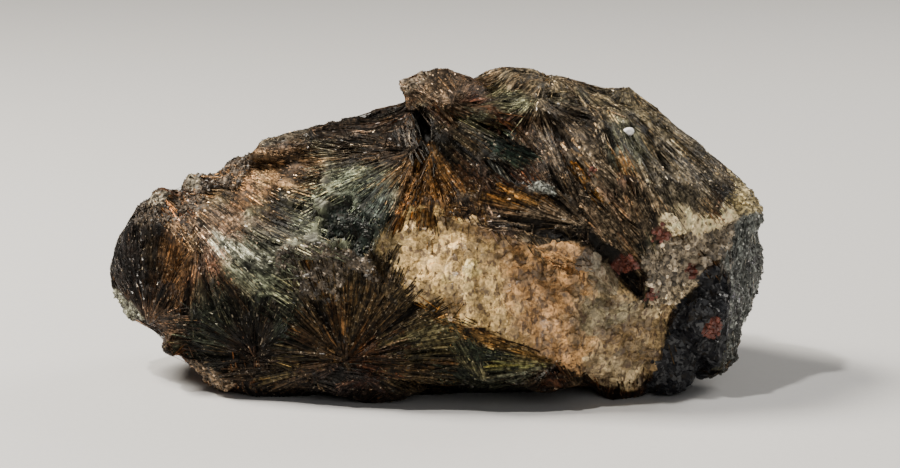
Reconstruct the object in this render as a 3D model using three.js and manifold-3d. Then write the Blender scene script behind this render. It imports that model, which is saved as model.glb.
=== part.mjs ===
// A hand specimen of astrophyllite, built as the one broken piece of rock that it is.
// The stone is a rounded block with four outlines: its crest and its underside, seen from the
// front, and its front and its back, seen from above. Fracture cuts open the feldspar pocket and
// the shelves, small lumps sit on its crest, and the sprays of bladed crystals are fused to it.
// Millimetres, +X to the right, +Y to the back, +Z up, origin at the middle of the base.
import * as THREE from "three";
import { mergeVertices } from "three/addons/utils/BufferGeometryUtils.js";
import Module from "manifold-3d";

const wasm = await Module();
wasm.setup();

// ---------------------------------------------------------------- driving dimensions
const LENGTH = 150;
const DEPTH = 80;
const HEIGHT = 70;
const HALF_LENGTH = LENGTH / 2;
const HALF_DEPTH = DEPTH / 2;

const STONE_DETAIL = 10; // subdivisions of the icosahedron that becomes the stone
const LARGE_KNOB = 13.5; // a knob with a radius over this is subdivided twice
const CUT_CLEARANCE = 60; // how far a cutter reaches past the stone's surface
const GROUND_SIZE = 450; // the block that cuts the base flat
const WELD = 1e-3; // corners closer than this are one

// ---------------------------------------------------------------- the stone's outlines
// Each point is [share of the half length, share of the height or of the half depth].
const CREST = [
  [-1, 0.34], [-0.985, 0.47], [-0.94, 0.565], [-0.86, 0.62], [-0.76, 0.61], [-0.73, 0.63],
  [-0.6, 0.66], [-0.53, 0.69], [-0.515, 0.73], [-0.38, 0.775], [-0.22, 0.81], [-0.12, 0.84],
  [-0.08, 0.94], [0, 0.985], [0.1, 0.99], [0.24, 1.01], [0.34, 1], [0.45, 0.975],
  [0.6, 0.97], [0.7, 0.92], [0.8, 0.83], [0.87, 0.74], [0.94, 0.645], [0.985, 0.5], [1, 0.38],
];
const UNDERSIDE = [
  [-1, 0.34], [-0.985, 0.26], [-0.955, 0.19], [-0.88, 0.14], [-0.83, 0.11], [-0.77, 0.065],
  [-0.7, 0.03], [-0.55, -0.02], [-0.3, -0.05], [0.5, -0.05], [0.7, -0.03], [0.82, 0.02],
  [0.9, 0.06], [0.95, 0.11], [0.98, 0.2], [1, 0.38],
];
const FRONT = [
  [-1, 0.02], [-0.96, -0.24], [-0.88, -0.46], [-0.74, -0.64], [-0.5, -0.8], [-0.2, -0.94],
  [0.2, -0.97], [0.5, -0.9], [0.72, -0.74], [0.86, -0.5], [0.95, -0.22], [1, 0.1],
];
const BACK = [
  [-1, 0.02], [-0.95, 0.28], [-0.8, 0.56], [-0.55, 0.76], [-0.2, 0.94], [0.2, 1],
  [0.5, 0.93], [0.75, 0.74], [0.9, 0.46], [0.97, 0.26], [1, 0.1],
];
const CREST_LINE = [[-1, 0.02], [-0.7, 0.05], [-0.2, 0.12], [0.3, 0.1], [1, 0.1]];
const BELLY_LINE = [[-1, 0.34], [-0.6, 0.3], [-0.1, 0.3], [0.4, 0.4], [1, 0.38]];

// How square the four quarters of a cross-section are: 1 is an ellipse, less is squarer.
const SQUARENESS = { upperFront: 0.86, lowerFront: 0.6, upperBack: 0.76, lowerBack: 0.66 };

// Roughness of the broken surface: [wavelength, height] of each layer.
const ROUGHNESS = [[23, 2], [9, 1.2], [4.6, 0.6]];

// The large flat faces that the stone broke along: a point of each and the way it looks.
const BREAKS = [
  { through: [-28, 21, 44], normal: [-0.3, 0.7, 0.65] }, // the back, upper left
  { through: [44, 22, 46], normal: [0.5, 0.7, 0.5] }, // the back, upper right
  { through: [6, 34.5, 26], normal: [0.1, 0.97, -0.2] }, // the middle of the back
  { through: [-56, 17, 22], normal: [-0.6, 0.78, -0.1] }, // the back of the nose
  { through: [63, -17, 30], normal: [0.66, -0.74, 0.1] }, // the right end, to the front
  { through: [-66, -13, 30], normal: [-0.7, -0.7, 0.15] }, // the nose, to the front
];

// Flat chips broken off all over the stone: the depth at their middle, and how far they tilt.
const CHIPS = { count: 80, shallow: 0.4, deep: 3.4, tilt: 0.35 };

// A knob is an ellipsoid a little under its radii, with two layers of noise of its own: each
// [swings over a radius, height as a share of the radius].
const KNOB = { size: 0.95, layers: [[1.6, 0.3], [3.7, 0.2]], patternStep: 0.37 };

// ---------------------------------------------------------------- small tools
function alongOutline(outline, share) {
  const next = outline.findIndex(([at]) => at >= share);
  if (next <= 0) return outline[next < 0 ? outline.length - 1 : 0][1];
  const [from, low] = outline[next - 1];
  const [to, high] = outline[next];
  return THREE.MathUtils.mapLinear(share, from, to, low, high);
}

// A repeatable number from 0 to 1 for a lattice point.
function hash(x, y, z) {
  const mixed = Math.sin(x * 127.1 + y * 311.7 + z * 74.7) * 43758.5453;
  return mixed - Math.floor(mixed);
}

// Smooth noise from -1 to 1, about one swing for each unit of length.
function noise(point) {
  const cell = point.clone().floor();
  const inside = point.clone().sub(cell);
  const fade = (t) => t * t * (3 - 2 * t);
  let sum = 0;
  for (let corner = 0; corner < 8; corner++) {
    const [i, j, k] = [corner & 1, (corner >> 1) & 1, corner >> 2];
    const weight =
      (i ? fade(inside.x) : 1 - fade(inside.x)) *
      (j ? fade(inside.y) : 1 - fade(inside.y)) *
      (k ? fade(inside.z) : 1 - fade(inside.z));
    sum += weight * hash(cell.x + i, cell.y + j, cell.z + k);
  }
  return 2 * sum - 1;
}

function roughness(point) {
  return ROUGHNESS.reduce(
    (sum, [wavelength, height]) => sum + height * noise(point.clone().divideScalar(wavelength)),
    0,
  );
}

// A stream of repeatable random numbers from 0 to 1.
function randomStream(seed) {
  let state = seed;
  return () => {
    state = (state * 1664525 + 1013904223) % 4294967296;
    return state / 4294967296;
  };
}

function solidOf(geometry) {
  const bare = new THREE.BufferGeometry();
  bare.setAttribute("position", geometry.getAttribute("position"));
  if (geometry.index) bare.setIndex(geometry.index);
  const merged = mergeVertices(bare, WELD);
  return new wasm.Manifold(
    new wasm.Mesh({
      numProp: 3,
      vertProperties: merged.getAttribute("position").array,
      triVerts: new Uint32Array(merged.index.array),
    }),
  );
}

function geometryOf(solid) {
  const mesh = solid.getMesh();
  const geometry = new THREE.BufferGeometry();
  geometry.setAttribute("position", new THREE.BufferAttribute(mesh.vertProperties, 3));
  geometry.setIndex(new THREE.BufferAttribute(mesh.triVerts, 1));
  geometry.computeVertexNormals();
  return geometry;
}

// ---------------------------------------------------------------- the stone
// Carries a point of the unit sphere to the stone's surface: its x picks the cross-section, and
// its angle about the X axis picks the place on that section's outline.
function onStone(point) {
  const share = THREE.MathUtils.clamp(point.x, -1, 1);
  const isFront = point.y < 0;
  const isUpper = point.z > 0;
  const middle = new THREE.Vector2(
    alongOutline(CREST_LINE, share) * HALF_DEPTH,
    alongOutline(BELLY_LINE, share) * HEIGHT,
  );
  const reach = new THREE.Vector2(
    alongOutline(isFront ? FRONT : BACK, share) * HALF_DEPTH,
    alongOutline(isUpper ? CREST : UNDERSIDE, share) * HEIGHT,
  ).sub(middle);
  const around = new THREE.Vector2(Math.abs(point.y), Math.abs(point.z)).normalize();
  const quarter = (isUpper ? "upper" : "lower") + (isFront ? "Front" : "Back");
  const square = SQUARENESS[quarter];
  return new THREE.Vector3(
    share * HALF_LENGTH,
    middle.x + reach.x * around.x ** square,
    middle.y + reach.y * around.y ** square,
  );
}

// The way out of the stone at a point of its surface, from the ellipsoid that it is near.
function outwardsAt({ x, y, z }) {
  const away = new THREE.Vector3(x / HALF_LENGTH ** 2, y / HALF_DEPTH ** 2, 0);
  away.z = (z - HEIGHT / 2) / (HEIGHT / 2) ** 2;
  return away.normalize();
}

function brokenChips(random) {
  return Array.from({ length: CHIPS.count }, () => {
    const high = 2 * random() - 1;
    const turn = 2 * Math.PI * random();
    const flat = Math.sqrt(1 - high * high);
    const middle = onStone(new THREE.Vector3(flat * Math.cos(turn), flat * Math.sin(turn), high));
    const tilt = new THREE.Vector3(random() - 0.5, random() - 0.5, random() - 0.5);
    const normal = outwardsAt(middle).addScaledVector(tilt, CHIPS.tilt).normalize();
    middle.addScaledVector(normal, -THREE.MathUtils.lerp(CHIPS.shallow, CHIPS.deep, random()));
    return new THREE.Plane().setFromNormalAndCoplanarPoint(normal, middle);
  });
}

function moulded(geometry, move) {
  const position = geometry.getAttribute("position");
  const point = new THREE.Vector3();
  for (let i = 0; i < position.count; i++) {
    move(point.fromBufferAttribute(position, i));
    position.setXYZ(i, point.x, point.y, point.z);
  }
  return geometry;
}

// How far a point has to go into the stone to lie behind all of some planes. A plane that the
// point meets at a glance counts as if it faced it at SHALLOWEST, the cosine of 60 degrees.
const SHALLOWEST = 0.5;

function depthBehind(planes, point, outwards) {
  const depths = planes.map((plane) => {
    return plane.distanceToPoint(point) / Math.max(SHALLOWEST, plane.normal.dot(outwards));
  });
  return Math.max(0, ...depths);
}

function roughStone(random) {
  const breaks = BREAKS.map(({ through, normal }) => {
    const facing = new THREE.Vector3(...normal).normalize();
    return new THREE.Plane().setFromNormalAndCoplanarPoint(facing, new THREE.Vector3(...through));
  });
  const chips = brokenChips(random);
  const sphere = new THREE.IcosahedronGeometry(1, STONE_DETAIL);
  return solidOf(
    moulded(sphere, (point) => {
      point.copy(onStone(point));
      const outwards = outwardsAt(point);
      point.addScaledVector(outwards, -depthBehind(breaks, point, outwards));
      const chipped = Math.min(depthBehind(chips, point, outwards), CHIPS.deep);
      point.addScaledVector(outwards, roughness(point) - chipped);
    }),
  );
}

// ---------------------------------------------------------------- fracture cuts
// Each cut removes what lies in front of a plane, inside an outline in X and Z. The plane passes
// through the point [x, y, z] and faces along its normal.
const CUTS = [
  {
    // the cream end of the feldspar pocket, a cleavage face that looks up
    outline: [
      [-13, 34], [-9, 42], [-2, 44.5], [9, 41], [13, 38], [12, 16], [3, 21], [-3, 24],
    ],
    through: [0, -32.5, 32],
    normal: [-0.15, -0.93, 0.33],
  },
  {
    // its orange middle, under the overhang of the long blades
    outline: [
      [9, 41], [22, 37], [32, 33], [38, 28], [40, 18], [34, 6], [26, 12], [16, 15], [9, 18],
    ],
    through: [22, -33, 25],
    normal: [0.1, -0.97, 0.2],
  },
  {
    // its golden foot, which turns down and to the right
    outline: [
      [32, 26], [38, 28], [43, 22], [49, 20], [53, 14], [50, 8], [47, -2], [38, -2], [32, 7],
    ],
    through: [42, -31, 14],
    normal: [0.3, -0.93, -0.1],
  },
  {
    // the bright slope of the upper left, which ends below in a brow
    outline: [[-64, 30], [-64, 70], [2, 70], [-2, 46], [-12, 40], [-20, 30], [-40, 26]],
    through: [-30, -20, 44],
    normal: [-0.25, -0.6, 0.76],
  },
  {
    // the wall under that brow, where two dark sunbursts lie
    outline: [
      [-53, 25], [-47, 29], [-34, 30.5], [-27, 33], [-17, 35], [-13, 30], [-6, 22], [-2, 12],
      [-4, -4], [-50, -4], [-55, 8],
    ],
    through: [-28, -29.4, 16],
    normal: [-0.2, -0.97, 0.05],
  },
  {
    // the hollow between the toe at the left and the rim of the base
    outline: [[-60, 1], [-54, 9], [-47, 7], [-44, 1.5], [-46, -6], [-60, -6]],
    through: [-52, -19, 4],
    normal: [-0.3, -0.9, -0.3],
  },
  {
    // the deep crack under the left lip of the crest
    outline: [[-2, 49], [0.5, 56], [-0.5, 61], [-6, 64.5], [-5, 60], [-4.5, 54]],
    through: [-2, -16, 54],
    normal: [0, -1, 0],
  },
];

function cutter({ outline, through, normal }) {
  const shape = new THREE.Shape(outline.map(([x, z]) => new THREE.Vector2(x, z)));
  const block = new THREE.ExtrudeGeometry(shape, { depth: CUT_CLEARANCE, bevelEnabled: false });
  const [px, py, pz] = through;
  const [nx, ny, nz] = normal;
  // The extrusion's own z runs from the cut plane (0) out past the front of the stone.
  return solidOf(
    moulded(block, (point) => {
      const [x, z, outward] = [point.x, point.y, point.z];
      const onPlane = py - (nx * (x - px) + nz * (z - pz)) / ny;
      point.set(x, onPlane - outward, z);
    }),
  );
}

// ---------------------------------------------------------------- lumps and pits
// Broken knobs that stand proud of the stone, and hollows in it: centre, radii, tilt about Y.
const LUMPS = [
  { at: [3.6, -7, 65], radii: [10.8, 13, 5.7], tilt: 0 }, // the lip over the crack
  { at: [18, -3, 60], radii: [15.5, 17, 9.3], tilt: 0 }, // the summit behind it
  { at: [31, -1, 59], radii: [12, 17, 8], tilt: 0.1 },
  { at: [42, -3, 56.5], radii: [13, 17, 8.2], tilt: 0.26 }, // the right shoulder
  { at: [-60, -3, 39.6], radii: [3.4, 5, 4.2], tilt: -0.2 }, // the nub on the left shoulder
  { at: [-51, -1, 42.5], radii: [5.5, 8, 4.6], tilt: -0.2 }, // the crust behind it
  { at: [-43, 1, 46], radii: [6, 9, 4.2], tilt: -0.3 },
  { at: [-31, 0, 51.8], radii: [10, 13, 4.5], tilt: -0.24 }, // the ledge of the left crest
  { at: [68.5, -4, 36.5], radii: [5.5, 9, 7.5], tilt: 0.3 }, // the pale knob of the right end
  { at: [-56.5, -16, 11.5], radii: [3.6, 5, 4.2], tilt: 0.5 }, // the toe at the left
  { at: [-37, -15, 6], radii: [19, 11, 7.5], tilt: 0.12 }, // the rim of the base at the left
  { at: [-13, -25.5, 7.5], radii: [13, 6, 7.5], tilt: 0 }, // the foot of the large sunburst
  { at: [14.5, -29.8, 12.4], radii: [18.5, 7.5, 7], tilt: 0.38 }, // the dark wedge below the pocket
  { at: [41, -19, 6], radii: [10, 8, 7], tilt: 0.2 }, // the foot of the feldspar
  { at: [52, -18, 8.5], radii: [7.5, 8, 8], tilt: -0.3 }, // the black mass at the right
  { at: [59.5, -13, 21], radii: [10, 13, 15], tilt: 0.2 },
  { at: [59, -9, 14], radii: [12, 13, 12], tilt: 0 }, // the heel of the right end
  { at: [40, -24, 41], radii: [16, 9, 12], tilt: 0.5 }, // the belly of the right-hand sprays
  { at: [0, -31, 27], radii: [8, 2.6, 6], tilt: -0.4 }, // cleaved blocks on the pocket's floor
  { at: [17, -31.2, 23], radii: [8, 2.8, 5], tilt: 0.5 },
  { at: [34, -30.5, 20], radii: [6.5, 3, 4.6], tilt: 0.2 },
  { at: [-34, 22, 18], radii: [18, 11, 14], tilt: 0.3 }, // the swellings of the back
  { at: [26, 26, 33], radii: [17, 9, 15], tilt: -0.3 },
];
const PITS = [
  { at: [-16, -34, 38], radii: [8, 6, 5.5], tilt: 0.3 }, // the dark hollow beside the feldspar
  { at: [43, -34.5, 29], radii: [3.2, 7, 8.5], tilt: -0.7 }, // the crevice below the sprays
  { at: [1.5, -33, 0], radii: [3.5, 6, 3], tilt: 0 }, // the notch in the foot
  { at: [-50, -24, 1], radii: [5, 7, 4.5], tilt: 0.2 }, // the gap behind the toe
  { at: [-49.5, -6, 47.5], radii: [3, 9, 2.5], tilt: 0.3 }, // the gaps in the left crust
  { at: [-56.5, -5, 45], radii: [1.8, 8, 3.4], tilt: 0 },
];

function knob({ at, radii, tilt }) {
  const centre = new THREE.Vector3(...at);
  const detail = Math.max(...radii) > LARGE_KNOB ? 2 : 1;
  const ball = moulded(new THREE.IcosahedronGeometry(1, detail), (point) => {
    const own = point.clone().addScaledVector(centre, KNOB.patternStep);
    const swelling = KNOB.layers.reduce(
      (size, [swings, height]) => size + height * noise(own.clone().multiplyScalar(swings)),
      KNOB.size,
    );
    point.multiplyScalar(swelling).multiply(new THREE.Vector3(...radii));
  });
  return solidOf(ball.rotateY(tilt).translate(...at));
}

// ---------------------------------------------------------------- sprays of blades
// A spray fans out from its apex over the surface, as seen from one side. apex is [right, up] in
// that view, and the blades point from angle `from` to angle `to`, in degrees from the right.
const VIEWS = {
  front: { right: [1, 0, 0], up: [0, 0, 1] },
  back: { right: [-1, 0, 0], up: [0, 0, 1] },
  top: { right: [1, 0, 0], up: [0, 1, 0] },
  left: { right: [0, -1, 0], up: [0, 0, 1] },
};
const SPRAYS = [
  { view: "front", apex: [-61, 11], from: 62, to: 128, start: 3, reach: 30, blades: 5 },
  { view: "front", apex: [-51, 33], from: -100, to: -50, start: 3, reach: 20, blades: 4 },
  { view: "front", apex: [-74, 51], from: -32, to: -14, start: 24, reach: 60, blades: 6 },
  { view: "front", apex: [-40, 10], from: -20, to: 200, start: 2, reach: 17, blades: 6 },
  { view: "front", apex: [-17, 10], from: -15, to: 195, start: 2, reach: 23, blades: 11 },
  { view: "front", apex: [-1, 56], from: 185, to: 258, start: 8, reach: 29, blades: 5 },
  { view: "front", apex: [-1, 56], from: 258, to: 318, start: 5, reach: 21, blades: 5 },
  { view: "front", apex: [-6, 63], from: -52, to: -24, start: 18, reach: 60, blades: 7 },
  { view: "front", apex: [44, 66], from: 205, to: 325, start: 5, reach: 26, blades: 6 },
  { view: "front", apex: [48, 27], from: 122, to: 166, start: 7, reach: 38, blades: 5 },
  { view: "front", apex: [15, 1.5], from: 60, to: 165, start: 2, reach: 18, blades: 4 },
  { view: "front", apex: [33, 6], from: 148, to: 178, start: 2, reach: 20, blades: 3 },
  { view: "top", apex: [5, 2], from: 20, to: 160, start: 4, reach: 27, blades: 3 },
  { view: "top", apex: [-45, 6], from: 20, to: 150, start: 4, reach: 22, blades: 3 },
  { view: "back", apex: [-30, 14], from: -10, to: 190, start: 3, reach: 34, blades: 5 },
  { view: "back", apex: [26, 34], from: 150, to: 390, start: 3, reach: 27, blades: 5 },
  { view: "left", apex: [-8, 12], from: 50, to: 130, start: 3, reach: 22, blades: 2 },
];
// A bundle of parallel blades: its size before it varies, how far its middle line stands out of
// the stone, and the place in its share of the fan, from and to.
const BLADE = {
  width: 3, height: 2.8, tipShare: 0.35, smallest: 0.7, largest: 1.3,
  shortest: 8, longest: 16, raised: 0.1, placeFrom: 0.2, placeTo: 0.8,
};
const STEEPEST = 1.7; // a bundle longer than this many times its length in the view is left out

function surfaceUnder(stone, { right, up }, [across, high]) {
  const rightward = new THREE.Vector3(...right);
  const upward = new THREE.Vector3(...up);
  const outward = rightward.clone().cross(upward);
  const origin = rightward.multiplyScalar(across).addScaledVector(upward, high);
  origin.addScaledVector(outward, LENGTH);
  const ray = new THREE.Raycaster(origin, outward.clone().negate());
  return ray.intersectObject(stone)[0] ?? null;
}

// One bundle: a three-sided bar, tapered, with its broad side in the stone.
function blade(root, tip, outward, width, height) {
  const along = tip.clone().sub(root);
  const thickEnd = 0.5;
  const thinEnd = thickEnd * BLADE.tipShare;
  const bar = new THREE.CylinderGeometry(thinEnd, thickEnd, along.length(), 3);
  bar.scale(width, 1, height);
  const yAxis = along.normalize();
  const xAxis = yAxis.clone().cross(outward).normalize();
  const zAxis = xAxis.clone().cross(yAxis);
  const place = new THREE.Matrix4().makeBasis(xAxis, yAxis, zAxis);
  place.setPosition(root.clone().lerp(tip, 0.5));
  return solidOf(bar.applyMatrix4(place));
}

function sprayBlades(stone, spray, random) {
  const view = VIEWS[spray.view];
  const [apexRight, apexUp] = spray.apex;
  const made = [];
  for (let i = 0; i < spray.blades; i++) {
    const place = THREE.MathUtils.lerp(BLADE.placeFrom, BLADE.placeTo, random());
    const share = (i + place) / spray.blades;
    const angle = THREE.MathUtils.degToRad(THREE.MathUtils.lerp(spray.from, spray.to, share));
    const room = spray.reach - spray.start;
    const wanted = THREE.MathUtils.lerp(BLADE.shortest, BLADE.longest, random());
    const length = Math.min(wanted, room);
    const start = spray.start + random() * (room - length);
    const at = (r) => [apexRight + r * Math.cos(angle), apexUp + r * Math.sin(angle)];
    const root = surfaceUnder(stone, view, at(start));
    const tip = surfaceUnder(stone, view, at(start + length));
    if (!root || !tip) continue;
    if (root.point.distanceTo(tip.point) > STEEPEST * length) continue;
    const outward = root.face.normal.clone().add(tip.face.normal).normalize();
    root.point.addScaledVector(outward, BLADE.raised);
    tip.point.addScaledVector(outward, BLADE.raised);
    const size = THREE.MathUtils.lerp(BLADE.smallest, BLADE.largest, random());
    made.push(blade(root.point, tip.point, outward, BLADE.width * size, BLADE.height * size));
  }
  return made;
}

// ---------------------------------------------------------------- putting it together
// The flat of the base: everything below Z = 0 is cut away.
function groundCutter() {
  const block = new THREE.BoxGeometry(GROUND_SIZE, GROUND_SIZE, GROUND_SIZE);
  return solidOf(block.translate(0, 0, -GROUND_SIZE / 2));
}

function specimen() {
  const random = randomStream(7);
  const cleaved = CUTS.map(cutter).reduce((stone, cut) => stone.subtract(cut), roughStone(random));
  const lumped = wasm.Manifold.union([cleaved, ...LUMPS.map(knob)]);
  const opened = PITS.map(knob).reduce((stone, pit) => stone.subtract(pit), lumped);
  const stone = new THREE.Mesh(geometryOf(opened));
  const blades = SPRAYS.flatMap((spray) => sprayBlades(stone, spray, random));
  return wasm.Manifold.union([opened, ...blades]).subtract(groundCutter());
}

const rockMaterial = new THREE.MeshStandardMaterial({
  color: new THREE.Color(0.2, 0.15, 0.11),
  roughness: 0.5,
  metalness: 0.25,
});

const astrophyllite = new THREE.Group();
const rock = new THREE.Mesh(geometryOf(specimen()), rockMaterial);
rock.name = "astrophyllite_rock";
// The middle of the finished rock's box, seen from above, comes over the origin.
rock.geometry.computeBoundingBox();
const middle = rock.geometry.boundingBox.getCenter(new THREE.Vector3());
rock.geometry.translate(-middle.x, -middle.y, 0);
astrophyllite.add(rock);

export default astrophyllite;
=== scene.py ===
import math

import bmesh
import bpy
import numpy as np
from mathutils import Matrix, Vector
from mathutils.bvhtree import BVHTree
from mathutils.kdtree import KDTree


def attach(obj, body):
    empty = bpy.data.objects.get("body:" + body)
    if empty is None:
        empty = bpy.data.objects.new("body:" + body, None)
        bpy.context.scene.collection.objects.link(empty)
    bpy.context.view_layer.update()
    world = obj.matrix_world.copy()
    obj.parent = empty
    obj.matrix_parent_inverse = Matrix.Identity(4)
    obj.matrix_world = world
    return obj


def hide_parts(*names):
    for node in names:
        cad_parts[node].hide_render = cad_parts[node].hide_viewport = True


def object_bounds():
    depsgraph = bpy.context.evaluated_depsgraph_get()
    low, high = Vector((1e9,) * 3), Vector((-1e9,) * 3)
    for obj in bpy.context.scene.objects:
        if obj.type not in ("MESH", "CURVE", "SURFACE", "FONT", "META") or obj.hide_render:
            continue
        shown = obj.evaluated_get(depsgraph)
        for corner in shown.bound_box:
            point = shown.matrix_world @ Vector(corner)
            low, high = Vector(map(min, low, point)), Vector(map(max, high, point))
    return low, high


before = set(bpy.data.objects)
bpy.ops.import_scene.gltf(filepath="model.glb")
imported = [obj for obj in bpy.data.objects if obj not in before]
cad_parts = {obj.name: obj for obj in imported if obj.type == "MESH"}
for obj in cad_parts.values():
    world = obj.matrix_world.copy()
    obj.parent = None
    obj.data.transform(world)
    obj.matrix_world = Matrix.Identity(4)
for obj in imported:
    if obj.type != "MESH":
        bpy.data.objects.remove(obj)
cad_low, cad_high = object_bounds()

# ---------------------------------------------------------------------------
# The broken stone: one block of rock, knocked off a vein in which radiating
# astrophyllite grew against grains of feldspar and black aegirine. Its skin is
# fracture all over: planes softened by small breaks, and fibres split lengthwise.
# ---------------------------------------------------------------------------
MM = 0.001
HALF_LENGTH = (cad_high.x - cad_low.x) / 2
HALF_DEPTH = (cad_high.y - cad_low.y) / 2
HEIGHT = cad_high.z
WELD = 0.001 * MM  # corners of the solid closer than this are one
SKIN_GRID = 0.7 * MM  # edge of the skin's faces
SKIN_SOFTENING = 7  # rounds that soften the facets of the solid under it
SKIN_INSET = 0.3 * MM  # room that the blades need inside the solid's box


def plain_mesh(thing):
    """The object's mesh as its modifiers leave it; the modifiers themselves go."""
    depsgraph = bpy.context.evaluated_depsgraph_get()
    made = bpy.data.meshes.new_from_object(thing.evaluated_get(depsgraph))
    thing.modifiers.clear()
    thing.data = made
    return thing


def linked(name, mesh):
    """A new object of the scene, at the origin."""
    thing = bpy.data.objects.new(name, mesh)
    bpy.context.scene.collection.objects.link(thing)
    return thing


def even_skin(solid, name):
    """A closed copy of a solid with small even faces, its creases softened."""
    mesh = solid.data.copy()
    mesh.materials.clear()
    welded = bmesh.new()
    welded.from_mesh(mesh)
    bmesh.ops.remove_doubles(welded, verts=welded.verts, dist=WELD)
    welded.to_mesh(mesh)
    welded.free()
    skin = linked(name, mesh)
    grid = skin.modifiers.new("even grid", "REMESH")
    grid.mode = "VOXEL"
    grid.voxel_size = SKIN_GRID
    soften = skin.modifiers.new("soften", "SMOOTH")
    soften.factor = 0.5
    soften.iterations = SKIN_SOFTENING
    return plain_mesh(skin)


def vertex_values(mesh, what):
    """The vertices' places ("co") or normals ("normal"), a row for each."""
    values = np.zeros(len(mesh.vertices) * 3, np.float32)
    mesh.vertices.foreach_get(what, values)
    return values.reshape(-1, 3).astype(float)


def swell(points, wavelength, seed):
    """Smooth noise from -1 to 1 at each point, one swing in about a wavelength."""
    side = 32
    table = np.random.default_rng(seed).random((side, side, side))
    place = points / wavelength
    cell = np.floor(place).astype(int)
    inside = place - cell
    inside = inside * inside * (3 - 2 * inside)
    total = np.zeros(len(points))
    for corner in range(8):
        step = np.array([corner & 1, corner >> 1 & 1, corner >> 2])
        weight = np.where(step, inside, 1 - inside).prod(axis=1)
        total += weight * table[tuple(((cell + step) % side).T)]
    return 2 * total - 1


def ramp(value, low, high):
    """0 below low, 1 above high, and smooth between them."""
    share = np.clip((value - low) / (high - low), 0, 1)
    return share * share * (3 - 2 * share)


rock = even_skin(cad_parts["astrophyllite_rock"], "rock_skin")
rock_tree = BVHTree.FromObject(rock, bpy.context.evaluated_depsgraph_get())
place = vertex_values(rock.data, "co")
outward = vertex_values(rock.data, "normal")

# The sides that the rock is described from: their rightward and upward directions, and how far
# a share of 1 reaches along each.
SIDES = {
    "front": ((1, 0, 0), (0, 0, 1), HALF_LENGTH, HEIGHT),
    "back": ((-1, 0, 0), (0, 0, 1), HALF_LENGTH, HEIGHT),
    "left": ((0, -1, 0), (0, 0, 1), HALF_DEPTH, HEIGHT),
    "right": ((0, 1, 0), (0, 0, 1), HALF_DEPTH, HEIGHT),
    "top": ((1, 0, 0), (0, 1, 0), HALF_LENGTH, HALF_DEPTH),
    "under": ((1, 0, 0), (0, -1, 0), HALF_LENGTH, HALF_DEPTH),
}


def on_rock(side, across, high):
    """The skin's point at (across, high), in shares of a side, and the way that side faces."""
    right, up, width, tall = SIDES[side]
    right, up = Vector(right), Vector(up)
    facing = right.cross(up)
    start = right * across * width + up * high * tall
    found = rock_tree.ray_cast(start + facing, -facing)[0]
    if found is None:
        nearest = rock_tree.find_nearest(start)[0]
        found = start + facing * (nearest - start).dot(facing)
    return found, facing


def beside(outline, points):
    """How deep inside a closed outline, in shares, each point lies, below 0 outside, in metres."""
    corners = np.array(outline) * (HALF_LENGTH, HEIGHT)
    ends = np.roll(corners, -1, axis=0)
    nearest = np.full(len(points), np.inf)
    crossings = np.zeros(len(points), int)
    for (x0, z0), (x1, z1) in zip(corners, ends):
        run = np.array([x1 - x0, z1 - z0])
        offset = points - (x0, z0)
        along = np.clip(offset @ run / (run @ run), 0, 1)
        nearest = np.minimum(nearest, np.hypot(*(offset - along[:, None] * run).T))
        spans = (z0 > points[:, 1]) != (z1 > points[:, 1])
        slope = (x1 - x0) / (z1 - z0) if z1 != z0 else 0
        crossings += spans & (points[:, 0] < x0 + slope * (points[:, 1] - z0))
    return np.where(crossings % 2, nearest, -nearest)


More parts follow.
